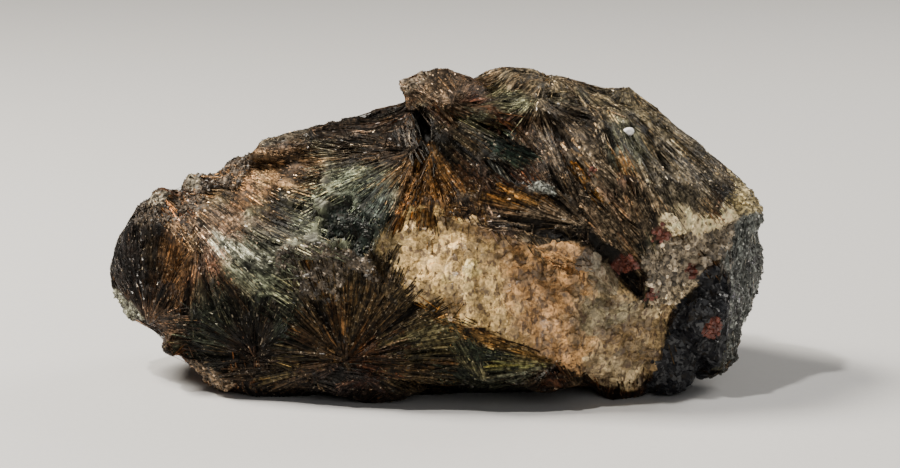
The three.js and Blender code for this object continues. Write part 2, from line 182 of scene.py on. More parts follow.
# The minerals other than astrophyllite lie in patches of the front, as do the crusts and the dark
# hollow. Each has an outline in shares of the half length and the height.
PATCHES = {
    "feldspar": [
        (-0.168, 0.49), (-0.168, 0.52), (-0.135, 0.545), (-0.1, 0.575), (-0.09, 0.605),
        (-0.075, 0.61), (-0.055, 0.57), (-0.035, 0.61), (-0.012, 0.54), (0.01, 0.61),
        (0.03, 0.585), (0.05, 0.61), (0.12, 0.6), (0.175, 0.545), (0.28, 0.53), (0.37, 0.53),
        (0.46, 0.51), (0.51, 0.455), (0.55, 0.38), (0.61, 0.33), (0.7, 0.32), (0.69, 0.215),
        (0.67, 0.15), (0.64, 0.07), (0.57, 0.02), (0.505, 0.03), (0.46, 0.09), (0.37, 0.155),
        (0.28, 0.21), (0.19, 0.245), (0.085, 0.28), (-0.02, 0.32), (-0.07, 0.355), (-0.1, 0.41),
        (-0.13, 0.455),
    ],
    "aegirine": [
        (0.7, 0.31), (0.735, 0.36), (0.78, 0.405), (0.83, 0.43), (0.86, 0.39), (0.86, 0.31),
        (0.88, 0.21), (0.86, 0.14), (0.82, 0.03), (0.76, -0.05), (0.62, -0.05), (0.62, 0.04),
        (0.63, 0.08), (0.66, 0.145), (0.675, 0.225), (0.69, 0.275),
    ],
    "vein": [
        (0.64, 0.615), (0.715, 0.62), (0.765, 0.57), (0.83, 0.565), (0.9, 0.62), (0.96, 0.635),
        (0.97, 0.585), (0.9, 0.545), (0.84, 0.51), (0.765, 0.505), (0.705, 0.53), (0.66, 0.555),
    ],
    "pale seam": [
        (0.56, 0.338), (0.65, 0.338), (0.71, 0.35), (0.76, 0.385), (0.775, 0.36), (0.715, 0.32),
        (0.65, 0.308), (0.57, 0.31),
    ],
    "granular": [
        (0.6, 0.48), (0.66, 0.51), (0.765, 0.525), (0.855, 0.56), (0.9, 0.59), (0.87, 0.445),
        (0.795, 0.405), (0.765, 0.345), (0.675, 0.305), (0.61, 0.325),
    ],
    "yellow crust": [
        (0.88, 0.69), (0.93, 0.69), (1.0, 0.61), (1.0, 0.545), (0.9, 0.545), (0.87, 0.6),
    ],
    "grey end": [(0.875, 0.6), (1.1, 0.6), (1.1, -0.1), (0.8, -0.1), (0.86, 0.14), (0.88, 0.21)],
    "left crust": [
        (-0.97, 0.5), (-0.87, 0.66), (-0.78, 0.7), (-0.7, 0.75), (-0.6, 0.78), (-0.545, 0.71),
        (-0.57, 0.63), (-0.67, 0.6), (-0.7, 0.55), (-0.78, 0.525), (-0.87, 0.505),
    ],
    "pale nub": [
        (-0.88, 0.57), (-0.88, 0.68), (-0.775, 0.68), (-0.775, 0.59), (-0.82, 0.555),
    ],
    "pale knob": [
        (-0.775, 0.62), (-0.76, 0.72), (-0.69, 0.74), (-0.675, 0.67), (-0.72, 0.615),
    ],
    "grey patch": [
        (-0.455, 0.44), (-0.44, 0.49), (-0.31, 0.51), (-0.18, 0.485), (-0.163, 0.426),
        (-0.25, 0.4), (-0.31, 0.33), (-0.4, 0.34),
    ],
    "pale rim": [(-0.74, 0.1), (-0.67, 0.09), (-0.6, 0.04), (-0.63, 0.0), (-0.73, 0.03)],
    "pale nose": [(-1, 0.285), (-0.915, 0.275), (-0.875, 0.21), (-0.925, 0.19), (-1, 0.23)],
    "lip": [
        (-0.14, 0.92), (-0.12, 1.0), (-0.07, 1.03), (-0.01, 1.04), (0.0, 0.98), (-0.04, 0.94),
        (-0.07, 0.91),
    ],
    "dark hollow": [
        (-0.323, 0.625), (-0.247, 0.633), (-0.193, 0.602), (-0.155, 0.579), (-0.165, 0.534),
        (-0.19, 0.493), (-0.205, 0.464), (-0.235, 0.47), (-0.245, 0.518), (-0.308, 0.538),
        (-0.333, 0.568),
    ],
    "blue patch": [
        (0.225, 0.7), (0.24, 0.72), (0.3, 0.728), (0.358, 0.696), (0.345, 0.664), (0.268, 0.674),
    ],
}
PATCH_RAGGEDNESS = 1.3 * MM  # how far an outline wanders
PATCH_EDGE = 0.35 * MM  # half the width of the change across it

seen_from_front = place[:, [0, 2]]
share_across, share_high = place[:, 0] / HALF_LENGTH, place[:, 2] / HEIGHT
wander = PATCH_RAGGEDNESS * (swell(place, 5 * MM, 11) + 0.5 * swell(place, 2 * MM, 12))
facing_front = ramp(-outward[:, 1], -0.25, 0.05)
depth_in = {name: beside(outline, seen_from_front) for name, outline in PATCHES.items()}
patch = {
    name: ramp(depth + wander, -PATCH_EDGE, PATCH_EDGE) * facing_front
    for name, depth in depth_in.items()
}
# The grey of the broad end runs on round it, and the back has a patch of feldspar and one of
# aegirine, their outlines in shares as seen from behind.
GREY_FROM, GREY_FULLY = 0.8 * HALF_LENGTH, 0.86 * HALF_LENGTH
GREY_UP_TO = 0.62 * HEIGHT
right_end = ramp(place[:, 0] + 3 * wander, GREY_FROM, GREY_FULLY)
low_down = ramp(GREY_UP_TO - place[:, 2] + 2 * wander, 0, 4 * MM)
patch["grey end"] = np.maximum(patch["grey end"], right_end * low_down)
BACK_PATCHES = {
    "feldspar": [
        (-0.04, 0.05), (0.04, 0.17), (0.02, 0.26), (0.12, 0.33), (0.19, 0.45), (0.31, 0.5),
        (0.36, 0.4), (0.48, 0.38), (0.55, 0.25), (0.46, 0.15), (0.44, 0.02),
    ],
    "aegirine": [
        (-0.86, 0.16), (-0.88, 0.34), (-0.76, 0.4), (-0.68, 0.5), (-0.52, 0.47), (-0.42, 0.26),
        (-0.5, 0.16), (-0.52, 0.02),
    ],
}
seen_from_back = seen_from_front * (-1, 1)
facing_back = ramp(outward[:, 1], -0.25, 0.05)
for name, outline in BACK_PATCHES.items():
    there = ramp(beside(outline, seen_from_back) + 2 * wander, -PATCH_EDGE, PATCH_EDGE)
    patch[name] = np.maximum(patch[name], there * facing_back)

# Later patches lie on top of earlier ones.
for top, covered in (
    ("aegirine", ("feldspar", "granular", "grey end")),
    ("vein", ("granular", "grey end")),
    ("pale seam", ("feldspar", "granular", "aegirine")),
    ("yellow crust", ("grey end", "vein")),
):
    for name in covered:
        patch[name] = patch[name] * (1 - patch[top])

# Red grains sit in small round nests, each (across, high, radius in mm) on the front.
RED_NESTS = [
    (0.55, 0.44, 2.5), (0.625, 0.349, 1.8), (0.652, 0.539, 1.9), (0.755, 0.402, 1.6),
    (0.816, 0.225, 2.7), (0.453, 0.741, 0.8), (0.583, 0.619, 0.8),
]
reddish = np.zeros(len(place))
for across, high, radius in RED_NESTS:
    away = np.hypot(place[:, 0] - across * HALF_LENGTH, place[:, 2] - high * HEIGHT)
    reddish = np.maximum(reddish, ramp(radius * MM - away + 0.3 * wander, 0, 0.4 * MM))
reddish *= facing_front
for name in patch:
    patch[name] = patch[name] * (1 - reddish)

# Astrophyllite grew as fans: thin blades that radiate from a point. Each fan has its apex as
# (across, high) on one side, the angles that it spans, how far its blades start and reach in mm,
# a colour where it starts and where it ends, and how much of it is long clean blades rather than
# short matted ones.
BRONZE = (0.19, 0.085, 0.026)
DARK_BRONZE = (0.05, 0.029, 0.013)
BLACK_BROWN = (0.02, 0.014, 0.009)
GOLD_BROWN = (0.3, 0.145, 0.03)
COPPER = (0.25, 0.138, 0.064)
ROSE_BROWN = (0.17, 0.085, 0.05)
SILVER_GREEN = (0.24, 0.26, 0.165)
MOSS = (0.04, 0.05, 0.03)
GREY_BROWN = (0.15, 0.11, 0.064)
OLIVE_BROWN = (0.075, 0.052, 0.024)
SLATE = (0.2, 0.215, 0.2)
FANS = [
    # side, across, high, from, to, start, reach, inner colour, outer colour, crisp
    ("front", -0.86, 0.19, 50, 150, 0, 34, DARK_BRONZE, BLACK_BROWN, 0.6),  # the nose
    ("front", -0.86, 0.19, -40, 50, 0, 13, ROSE_BROWN, ROSE_BROWN, 0.5),
    ("front", -0.7, 0.5, -125, -45, 0, 24, COPPER, DARK_BRONZE, 0.7),
    ("front", -0.98, 0.73, -42, 0, 20, 64, COPPER, SILVER_GREEN, 0.6),  # the bright slope
    ("front", -0.524, 0.145, -25, 205, 0, 19, DARK_BRONZE, MOSS, 0.8),  # the small sunburst
    ("front", -0.26, 0.15, -30, 210, 0, 26, DARK_BRONZE, OLIVE_BROWN, 1.0),  # the large sunburst
    ("front", -0.05, 0.77, 180, 240, 0, 33, GREY_BROWN, SILVER_GREEN, 0.6),
    ("front", -0.02, 0.77, 240, 300, 0, 20, DARK_BRONZE, GOLD_BROWN, 1.0),
    ("front", -0.1, 0.95, -60, -14, 10, 42, DARK_BRONZE, DARK_BRONZE, 1.0),  # the long spray
    ("front", 0.45, 0.57, 118, 176, 2, 30, BLACK_BROWN, DARK_BRONZE, 1.0),  # the pocket's brow
    ("front", -0.57, 1.92, -60, -40, 0, 130, GREY_BROWN, GREY_BROWN, 1.0),  # the coarse blades
    ("front", 0.417, 1.05, -68, -38, 30, 75, GREY_BROWN, OLIVE_BROWN, 0.8),
    ("front", 0.585, 0.93, 195, 345, 0, 17, GREY_BROWN, GREY_BROWN, 0.3),  # the shoulder
    ("front", 0.95, 0.75, 255, 288, 8, 60, SLATE, SLATE, 0.5),  # the grey end
    ("front", 0.176, 0.03, 55, 165, 0, 25, BLACK_BROWN, MOSS, 0.9),  # the wedge
    ("front", 0.358, 0.155, 142, 220, 0, 21, OLIVE_BROWN, MOSS, 1.0),
    ("front", 0.375, 0.165, 148, 160, 8, 32, BLACK_BROWN, GOLD_BROWN, 1.0),  # along the pocket
    ("front", 0.05, 0.9, 0, 80, 0, 26, ROSE_BROWN, GREY_BROWN, 0.1),  # the cap
    ("front", 0.3, 0.93, 200, 380, 0, 20, GREY_BROWN, ROSE_BROWN, 0.1),
    ("top", -0.5, 0.25, -60, 200, 0, 30, GREY_BROWN, BRONZE, 0.4),
    ("top", -0.05, 0.3, -30, 170, 0, 26, BRONZE, DARK_BRONZE, 0.6),
    ("top", 0.35, 0.1, -180, 180, 0, 30, GREY_BROWN, BRONZE, 0.3),
    ("back", -0.55, 0.85, 180, 360, 0, 34, GREY_BROWN, BRONZE, 0.6),
    ("back", -0.3, 0.3, -180, 180, 0, 30, ROSE_BROWN, DARK_BRONZE, 0.9),
    ("back", 0.0, 0.65, -180, 180, 0, 30, DARK_BRONZE, OLIVE_BROWN, 0.7),
    ("back", 0.3, 0.75, -180, 180, 0, 28, GREY_BROWN, MOSS, 0.4),
    ("back", 0.7, 0.5, -180, 180, 0, 28, SILVER_GREEN, DARK_BRONZE, 0.8),
    ("back", 0.62, 0.12, -20, 200, 0, 26, BLACK_BROWN, BRONZE, 1.0),
    ("back", -0.02, 0.05, -10, 190, 0, 28, DARK_BRONZE, MOSS, 0.8),
    ("left", 0.0, 0.2, -20, 200, 0, 30, DARK_BRONZE, BLACK_BROWN, 0.7),
    ("right", 0.3, 0.8, 180, 360, 0, 30, GREY_BROWN, DARK_BRONZE, 0.4),
    ("under", -0.5, 0.1, -180, 180, 0, 30, DARK_BRONZE, BRONZE, 0.6),
    ("under", 0.1, -0.2, -180, 180, 0, 34, DARK_BRONZE, MOSS, 0.6),
    ("under", 0.6, 0.2, -180, 180, 0, 30, BRONZE, DARK_BRONZE, 0.6),
]
APEX_DEPTH = 2.5 * MM  # a fan radiates from a point this far below the skin
BEND = math.radians(8)  # how far fibres wander from a straight ray
MOST_LIFT = 0.1  # how steeply blades come up out of the rock at the apex
LEAST_FACING = 0.35  # a face is taken to face a fan's side by at least this much
# The fan that costs least has a place: the cost is its distance in reaches, more where the skin
# is averted from the fan's side, and more outside the fan's span or nearer than its blades start.
SPILL = 20  # degrees outside the span that cost as much as one reach
FREE_FACING = 0.25  # a face turned this much towards the side isn't averted
AVERTED_COST = 2.5
TOO_NEAR_COST = 3


def fan_frame(fan):
    """How ill a fan suits each vertex, and the fibres' way, angle and distance there."""
    side, across, high, start_angle, end_angle, start, reach = fan[:7]
    surface, facing = (np.array(found) for found in on_rock(side, across, high))
    right, up = (np.array(way, float) for way in SIDES[side][:2])
    apex = surface - facing * APEX_DEPTH
    ray = place - apex
    distance = np.linalg.norm(ray, axis=1)
    angle = np.degrees(np.arctan2(ray @ up, ray @ right))
    middle = (start_angle + end_angle) / 2
    turned = np.abs((angle - middle + 180) % 360 - 180)
    outside = np.maximum(0, turned - (end_angle - start_angle) / 2) / SPILL
    averted = np.maximum(0, FREE_FACING - outward @ facing) * AVERTED_COST
    too_near = np.maximum(0, start * MM - distance) / (reach * MM) * TOO_NEAR_COST
    cost = distance / (reach * MM) * (1 + averted) + outside + too_near
    # Seen from its own side a fan is straight, so its rays are laid on the skin from that side.
    flat = ray - np.outer(ray @ facing, facing)
    squarely = np.maximum(outward @ facing, LEAST_FACING)
    way = flat - np.outer((flat * outward).sum(axis=1) / squarely, facing)
    return cost, way, angle, distance


fitted = [fan_frame(fan) for fan in FANS]
ragged_border = 0.1 * swell(place, 4 * MM, 21)
costs = np.array([
    cost + ragged_border * (index % 3 - 1) for index, (cost, *_) in enumerate(fitted)
])
owner = costs.argmin(axis=0)
# Each vertex takes after the fan that has it: in its ray, angle and distance from the apex, in
# where blades start and reach in mm, in their colours, and in how clean they are.
everyone = np.arange(len(place))
ray, angle, distance = (
    np.array(values)[owner, everyone] for values in list(zip(*fitted))[1:]
)
start, reach, inner, outer, clean = (
    np.array(values)[owner] for values in list(zip(*FANS))[5:]
)


def unit(vectors):
    """The same directions, each 1 long."""
    return vectors / np.maximum(np.linalg.norm(vectors, axis=1, keepdims=True), 1e-9)


# A fibre's way along the skin: its ray laid on the surface, turned a little here and there, and
# lifted near the apex, where the blades come up out of the rock.
flat_ray = unit(ray - outward * (ray * outward).sum(axis=1, keepdims=True))
sideways = np.cross(outward, flat_ray)
turn = (BEND * swell(place, 7 * MM, 22))[:, None]
lift = np.clip(0.4 * APEX_DEPTH / np.maximum(distance, 1 * MM), 0, MOST_LIFT)[:, None]
fibre_way = unit(flat_ray * np.cos(turn) + sideways * np.sin(turn) + outward * lift)

# Fibre coordinates: round the fan in two of them, as far as 12 mm from its apex, and slowly along
# the blades in the third, with room for each fan to have a pattern of its own.
ROUND_FAN = 12.0
ALONG_BLADES = 0.09
FAN_APART = 17.0
around = np.radians(angle)
fibre_place = np.stack([
    np.cos(around) * ROUND_FAN, np.sin(around) * ROUND_FAN,
    distance / MM * ALONG_BLADES + owner * FAN_APART,
], axis=1)


def cloudy(coarse, fine, share, seed, low, high):
    """Clouds on the skin, from 0 to 1: coarse swells and a share of fine ones, both in mm."""
    swells = swell(place, coarse * MM, seed) + share * swell(place, fine * MM, seed + 1)
    return ramp(swells, low, high)


# Fibrous is where blades show, and crisp where they are long and clean. Some patches keep a share
# of their blades. Bundles split apart, bare spots were crushed, and bold blades stay clear of the
# other minerals.
BLADES_LEFT = {
    "left crust": 0.4, "grey patch": 0.3, "lip": 0.3, "dark hollow": 0.1, "grey end": 0.4,
}
others = sum(patch[name] * (1 - BLADES_LEFT.get(name, 0)) for name in patch)
fibrous = (1 - np.clip(others, 0, 1)) * (1 - reddish)
bundles = swell(fibre_place * (1, 1, 1.6), 2.6, 25) + 0.4 * swell(fibre_place, 1.1, 26)
split = fibrous * ramp(bundles, 0.3, 0.75)
clear = 1 - ramp(np.max(list(depth_in.values()), axis=0), -6 * MM, -3 * MM) * facing_front
bare = cloudy(7, 2.5, 0.5, 23, 0.15, 0.6)
near_hollow = ramp(depth_in["dark hollow"] + wander, -2.5 * MM, 0) * facing_front
fibrous *= 1 - 0.5 * near_hollow
crispness = clean * (1 - near_hollow)
crisp = crispness * fibrous * (1 - 0.7 * bare) * (1 - 0.6 * split)

# Bundles of blades parted where the rock broke, which left splits along the fans, sunk into
# the skin and darkened with painted shade. Some of the coarse ones were torn out and left slots,
# each from one (across, high) to another and about so many millimetres wide, sunk and darkened
# with painted shade the same way. The widest are the gash beside the feldspar and the crack under
# the lip.
SPLIT_DEPTH = 0.9  # mm
SLOT_DEPTH = 1.8  # mm
SLOTS = [
    (0.375, 0.825, 0.436, 0.78, 1.3), (0.494, 0.83, 0.53, 0.78, 1.5),
    (0.47, 0.78, 0.498, 0.74, 1.6), (0.584, 0.797, 0.645, 0.695, 1.1),
    (0.11, 0.857, 0.218, 0.824, 1.3), (0.165, 0.722, 0.23, 0.69, 1.4),
    (0.15, 0.757, 0.235, 0.708, 1.6), (0.549, 0.607, 0.585, 0.527, 1.1),
    (0.19, 0.605, 0.4, 0.565, 1.1), (0.23, 0.58, 0.43, 0.545, 1.1), (0.43, 0.7, 0.5, 0.62, 1.2),
    (0.33, 0.74, 0.38, 0.66, 1.2), (0.44, 0.56, 0.6, 0.36, 2.6), (-0.05, 0.87, -0.02, 0.79, 2.2),
    (0.34, 0.82, 0.43, 0.69, 0.7), (0.39, 0.8, 0.45, 0.72, 0.7), (0.2, 0.61, 0.38, 0.59, 0.9),
    (0.56, 0.7, 0.59, 0.66, 1.1), (0.64, 0.78, 0.72, 0.68, 0.8), (0.5, 0.68, 0.55, 0.6, 0.9),
    (-0.54, 0.59, -0.4, 0.556, 0.6), (-0.49, 0.625, -0.31, 0.59, 0.7),
    (-0.58, 0.54, -0.45, 0.5, 0.6), (-0.4, 0.67, -0.28, 0.625, 0.7),
]


def from_line(start, end):
    """Each vertex's distance from a line across the front, and where along it that is."""
    head = np.array(start) * (HALF_LENGTH, HEIGHT)
    run = np.array(end) * (HALF_LENGTH, HEIGHT) - head
    share = np.clip((seen_from_front - head) @ run / (run @ run), 0, 1)
    return np.hypot(*(seen_from_front - head - share[:, None] * run).T), share


slot = np.zeros(len(place))
for *ends, wide in SLOTS:
    away, share = from_line(ends[:2], ends[2:])
    taper = 0.8 * wide * MM * (1 - 0.6 * np.abs(2 * share - 1))
    slot = np.maximum(slot, ramp(taper - away + 0.2 * wander, -0.25 * MM, 0.25 * MM))
slot *= facing_front * (1 - np.clip(others, 0, 1))
fibrous *= 1 - 0.95 * slot
crisp *= 1 - slot

# The skin's fine relief: rounded breaks everywhere, split ridges along the fibres, and tilted
# cleavage facets on the grains, with a size and a steepest slope for each kind.
FACETS = {
    "feldspar": (3.2 * MM, 0.16),
    "aegirine": (2.4 * MM, 0.34),
    "crust": (1.5 * MM, 0.42),
}
CRUSTED = (
    "vein", "granular", "yellow crust", "grey end", "left crust", "pale nub", "pale knob",
    "grey patch", "pale rim", "pale nose", "lip", "blue patch", "pale seam",
)
HOLLOW_DEPTH = 2.4 * MM


def facets(size, tilt, seed):
    """Height of a surface broken into tilted flat cells, and a random number of each cell."""
    chance = np.random.default_rng(seed)
    cells = np.unique(np.round(place / size).astype(int), axis=0)
    seeds = (cells + chance.uniform(-0.5, 0.5, cells.shape)) * size
    slopes = chance.uniform(-tilt, tilt, seeds.shape)
    steps = chance.uniform(-0.5, 0.5, len(seeds)) * tilt * size
    tree = KDTree(len(seeds))
    for index, point in enumerate(seeds):
        tree.insert(point, index)
    tree.balance()
    nearest = np.array([tree.find(point)[1] for point in place])
    offset = place - seeds[nearest]
    height = (offset * slopes[nearest]).sum(axis=1) + steps[nearest]
    return height, chance.random(len(seeds))[nearest]


crust = np.clip(sum(patch[name] for name in CRUSTED), 0, 1)
pitted = crust + patch["dark hollow"]
facet_relief, facet_tone = {}, {}
for number, (name, (size, tilt)) in enumerate(FACETS.items()):
    facet_relief[name], facet_tone[name] = facets(size, tilt, 31 + number)

breaks = 0.7 * swell(place, 9 * MM, 41) + 0.35 * swell(place, 3.4 * MM, 42)
ridges = 0.25 * swell(fibre_place, 1.3, 43) + (0.3 + 0.3 * crisp) * swell(fibre_place, 3.2, 44)
breaks = breaks * (1 - 0.5 * patch["feldspar"])
relief = MM * (breaks + fibrous * (ridges - SPLIT_DEPTH * split) - SLOT_DEPTH * slot)
relief += patch["feldspar"] * facet_relief["feldspar"]
relief += patch["aegirine"] * facet_relief["aegirine"]
relief += pitted * (facet_relief["crust"] + 0.6 * MM * swell(place, 4.5 * MM, 45))
relief -= HOLLOW_DEPTH * patch["dark hollow"]
above_base = ramp(place[:, 2], 0, 2 * MM)
moved = place + outward * ((relief - SKIN_INSET) * above_base)[:, None]
moved[:, 2] = np.maximum(moved[:, 2], 0)
# Softening drew the skin in, so it is let out again to fill the solid's box.
box_low, box_high = np.array(cad_low), np.array(cad_high)
room_low, room_high = box_low + (SKIN_INSET, SKIN_INSET, 0), box_high - SKIN_INSET
skin_low, skin_high = moved.min(axis=0), moved.max(axis=0)
moved = room_low + (moved - skin_low) / (skin_high - skin_low) * (room_high - room_low)
rock.data.vertices.foreach_set("co", moved.astype(np.float32).ravel())
rock.data.update()


def mixed(base, color, share):
    """Colours with another mixed in, each by its own share."""
    return base + (np.array(color) - base) * share[:, None]


def stained_and_painted_light(base, ovals, ragged, edge, softness, where=1.0):
    """Colours with soft ovals mixed in, each round (across, high) on the front: tints of their own colour,
    and on the fans some painted light and shade.
    """
    for across, high, wide, tall, color, strength in ovals:
        away = np.hypot((share_across - across) / wide, (share_high - high) / tall) + ragged
        base = mixed(base, color, strength * ramp(edge - away, 0, softness) * where)
    return base


# The blades' colours change from the apex of a fan to its rim, and grow greyer, mossier, rustier
# or more mauve from place to place.
along_fan = (distance - start * MM) / (reach * MM - start * MM)
along_fan = ramp(along_fan + 0.25 * swell(place, 6 * MM, 51), 0.1, 0.8)
fan_color = inner + (outer - inner) * along_fan[:, None]
fan_color = mixed(fan_color, GREY_BROWN, 0.35 * cloudy(11, 3, 0.4, 52, 0.1, 0.7))
fan_color = mixed(fan_color, (0.09, 0.11, 0.07), 0.55 * cloudy(9, 3, 0.5, 57, 0.35, 0.8))
rusty = cloudy(7, 2.5, 0.5, 62, 0.25, 0.75)
mauve = cloudy(8, 3, 0.5, 64, 0.15, 0.65)
fan_color = fan_color * (1 + rusty[:, None] * (0.28, -0.04, -0.2))
fan_color = fan_color * (1 + mauve[:, None] * (0.04, -0.06, 0.16))

# Soft ovals mixed into the fans' colours on the front. Most are the blades' own tints; the ones marked
# below are painted light and shade.
STAINS_AND_PAINTED_LIGHT = [
    # across, high, reach across, reach up, colour, strength
    (-0.43, 0.715, 0.13, 0.075, (0.235, 0.135, 0.062), 0.85),
    (-0.225, 0.68, 0.11, 0.1, (0.13, 0.155, 0.105), 0.7),
    # Painted highlight on the lit brow of the slope.
    (-0.5, 0.44, 0.1, 0.07, (0.3, 0.33, 0.22), 0.7),
    (-0.63, 0.51, 0.08, 0.07, (0.26, 0.16, 0.1), 0.7),
    (-0.766, 0.41, 0.06, 0.1, (0.18, 0.09, 0.036), 0.75),
    (-0.84, 0.205, 0.08, 0.08, (0.2, 0.12, 0.07), 0.7),
    # Painted shadow under the crest's ledge.
    (-0.2, 0.765, 0.15, 0.045, (0.04, 0.024, 0.014), 0.9),
    # Painted shade in the crack under the lip.
    (-0.02, 0.81, 0.06, 0.1, (0.01, 0.007, 0.005), 1.0),
    (0.27, 0.95, 0.12, 0.07, (0.3, 0.24, 0.145), 0.7),
    (0.22, 0.915, 0.06, 0.03, (0.2, 0.24, 0.13), 0.6),
    (0.6, 0.86, 0.22, 0.13, (0.2, 0.165, 0.095), 0.8),
    (0.72, 0.7, 0.14, 0.12, (0.36, 0.3, 0.2), 0.85),
    (0.0, 0.97, 0.13, 0.07, (0.27, 0.18, 0.11), 0.8),
    (-0.02, 0.68, 0.12, 0.09, (0.13, 0.065, 0.02), 0.85),
    (0.22, 0.657, 0.12, 0.026, (0.34, 0.18, 0.055), 0.85),
    (0.32, 0.6, 0.16, 0.03, (0.26, 0.19, 0.12), 0.75),
    # Painted shadow under the crest, where it meets the lip.
    (-0.09, 0.83, 0.06, 0.05, (0.03, 0.022, 0.016), 0.85),
    (0.13, 0.8, 0.13, 0.06, (0.025, 0.022, 0.014), 0.85),
    (0.2, 0.81, 0.07, 0.05, (0.012, 0.024, 0.018), 0.85),
    (0.42, 0.78, 0.14, 0.14, (0.095, 0.073, 0.05), 0.75),
    (0.55, 0.8, 0.07, 0.08, (0.13, 0.15, 0.1), 0.6),
    (0.43, 0.735, 0.02, 0.035, (0.4, 0.19, 0.04), 0.8),
    (0.545, 0.742, 0.025, 0.03, (0.4, 0.2, 0.06), 0.7),
    (0.555, 0.62, 0.03, 0.05, (0.3, 0.16, 0.04), 0.7),
    # The dark hollow: its own dark green, darkened further with painted shade of the recess.
    (-0.165, 0.61, 0.07, 0.09, (0.04, 0.055, 0.047), 0.9),
    (-0.93, 0.42, 0.1, 0.18, (0.012, 0.008, 0.006), 1.0),
    (0.19, 0.08, 0.08, 0.05, (0.14, 0.15, 0.1), 0.7),
    # Painted glints: golden strokes on the wedge.
    (0.25, 0.155, 0.08, 0.02, (0.3, 0.25, 0.1), 0.35),
    (0.57, 0.62, 0.09, 0.09, (0.27, 0.2, 0.125), 0.75),
    # The lower small sunburst: its own dark brown, darkened further with painted shade low on the rock.
    (-0.54, 0.18, 0.16, 0.17, (0.014, 0.011, 0.008), 0.8),
    # Painted shade along the base of the front.
    (-0.36, 0.02, 0.3, 0.05, (0.022, 0.018, 0.015), 0.95),
    (-0.44, 0.12, 0.03, 0.05, (0.2, 0.15, 0.06), 0.6),
    (-0.42, 0.28, 0.05, 0.13, (0.035, 0.048, 0.032), 0.75),
    (-0.66, 0.27, 0.06, 0.12, (0.045, 0.055, 0.037), 0.7),
    (-0.05, 0.21, 0.09, 0.05, (0.13, 0.125, 0.06), 0.55),
    (-0.27, 0.09, 0.1, 0.05, (0.065, 0.045, 0.045), 0.6),
    # Painted shade in the crack under the lip.
    (-0.055, 0.84, 0.04, 0.05, (0.02, 0.018, 0.015), 1.0),
]
fan_color = stained_and_painted_light(
    fan_color, STAINS_AND_PAINTED_LIGHT, ragged=0.3 * swell(place, 5 * MM, 59), edge=1.25, softness=0.6,
    where=facing_front,
)

# Some blades and edges stand out along their whole length as lines of colour, each (from, to,
# width in mm, colour), its ends in shares. The rim of blades below the feldspar has their own
# colour; the rest are painted light: painted highlights on the lit brow of the slope and on the
# crest's rim, the painted shadow of the dark band below the crest, and painted glints on the wedge.
EDGES = [
    # Painted shadow: the next two lines are the dark band under the crest's ledge.
    ((-0.5, 0.757), (-0.35, 0.775), 2.0, (0.045, 0.03, 0.02)),
    ((-0.35, 0.775), (-0.09, 0.83), 4.0, (0.03, 0.02, 0.013)),
    # Painted highlight: the next two lines are the thin lit rim along the crest.
    ((-0.515, 0.765), (-0.4, 0.8), 1.4, (0.3, 0.25, 0.18)),
    ((-0.4, 0.8), (-0.12, 0.86), 1.2, (0.26, 0.22, 0.16)),
    ((0.165, 0.768), (0.205, 0.722), 0.8, (0.6, 0.62, 0.54)),
    # Painted highlight: the next two lines are the lit brow of the slope.
    ((-0.64, 0.5), (-0.5, 0.45), 3.4, (0.7, 0.72, 0.55)),
    ((-0.5, 0.45), (-0.4, 0.52), 2.6, (0.6, 0.6, 0.45)),
    ((0.0, 0.29), (0.2, 0.21), 1.6, (0.35, 0.2, 0.065)),
    ((0.2, 0.21), (0.37, 0.15), 1.3, (0.3, 0.17, 0.05)),
    # Painted glints on the wedge: the next two lines, yellow-green and then white.
    ((0.19, 0.155), (0.28, 0.15), 0.7, (0.55, 0.56, 0.2)),
    ((0.3, 0.11), (0.355, 0.145), 0.8, (0.7, 0.68, 0.6)),
    ((0.02, 0.2), (0.14, 0.13), 1.0, (0.3, 0.26, 0.13)),
]
for edge_from, edge_to, wide, color in EDGES:
    away = from_line(edge_from, edge_to)[0] + 0.2 * wide * wander
    lit = ramp(wide / 2 * MM - away, -0.5 * MM, 0.4 * MM) * facing_front
    fan_color = mixed(fan_color, color, 0.85 * lit)
# Painted shade: the splits and slots are darkened in colour as well as sunk into the skin.
fan_color = fan_color * (1 - 0.75 * split)[:, None] * (1 - 0.92 * slot)[:, None]

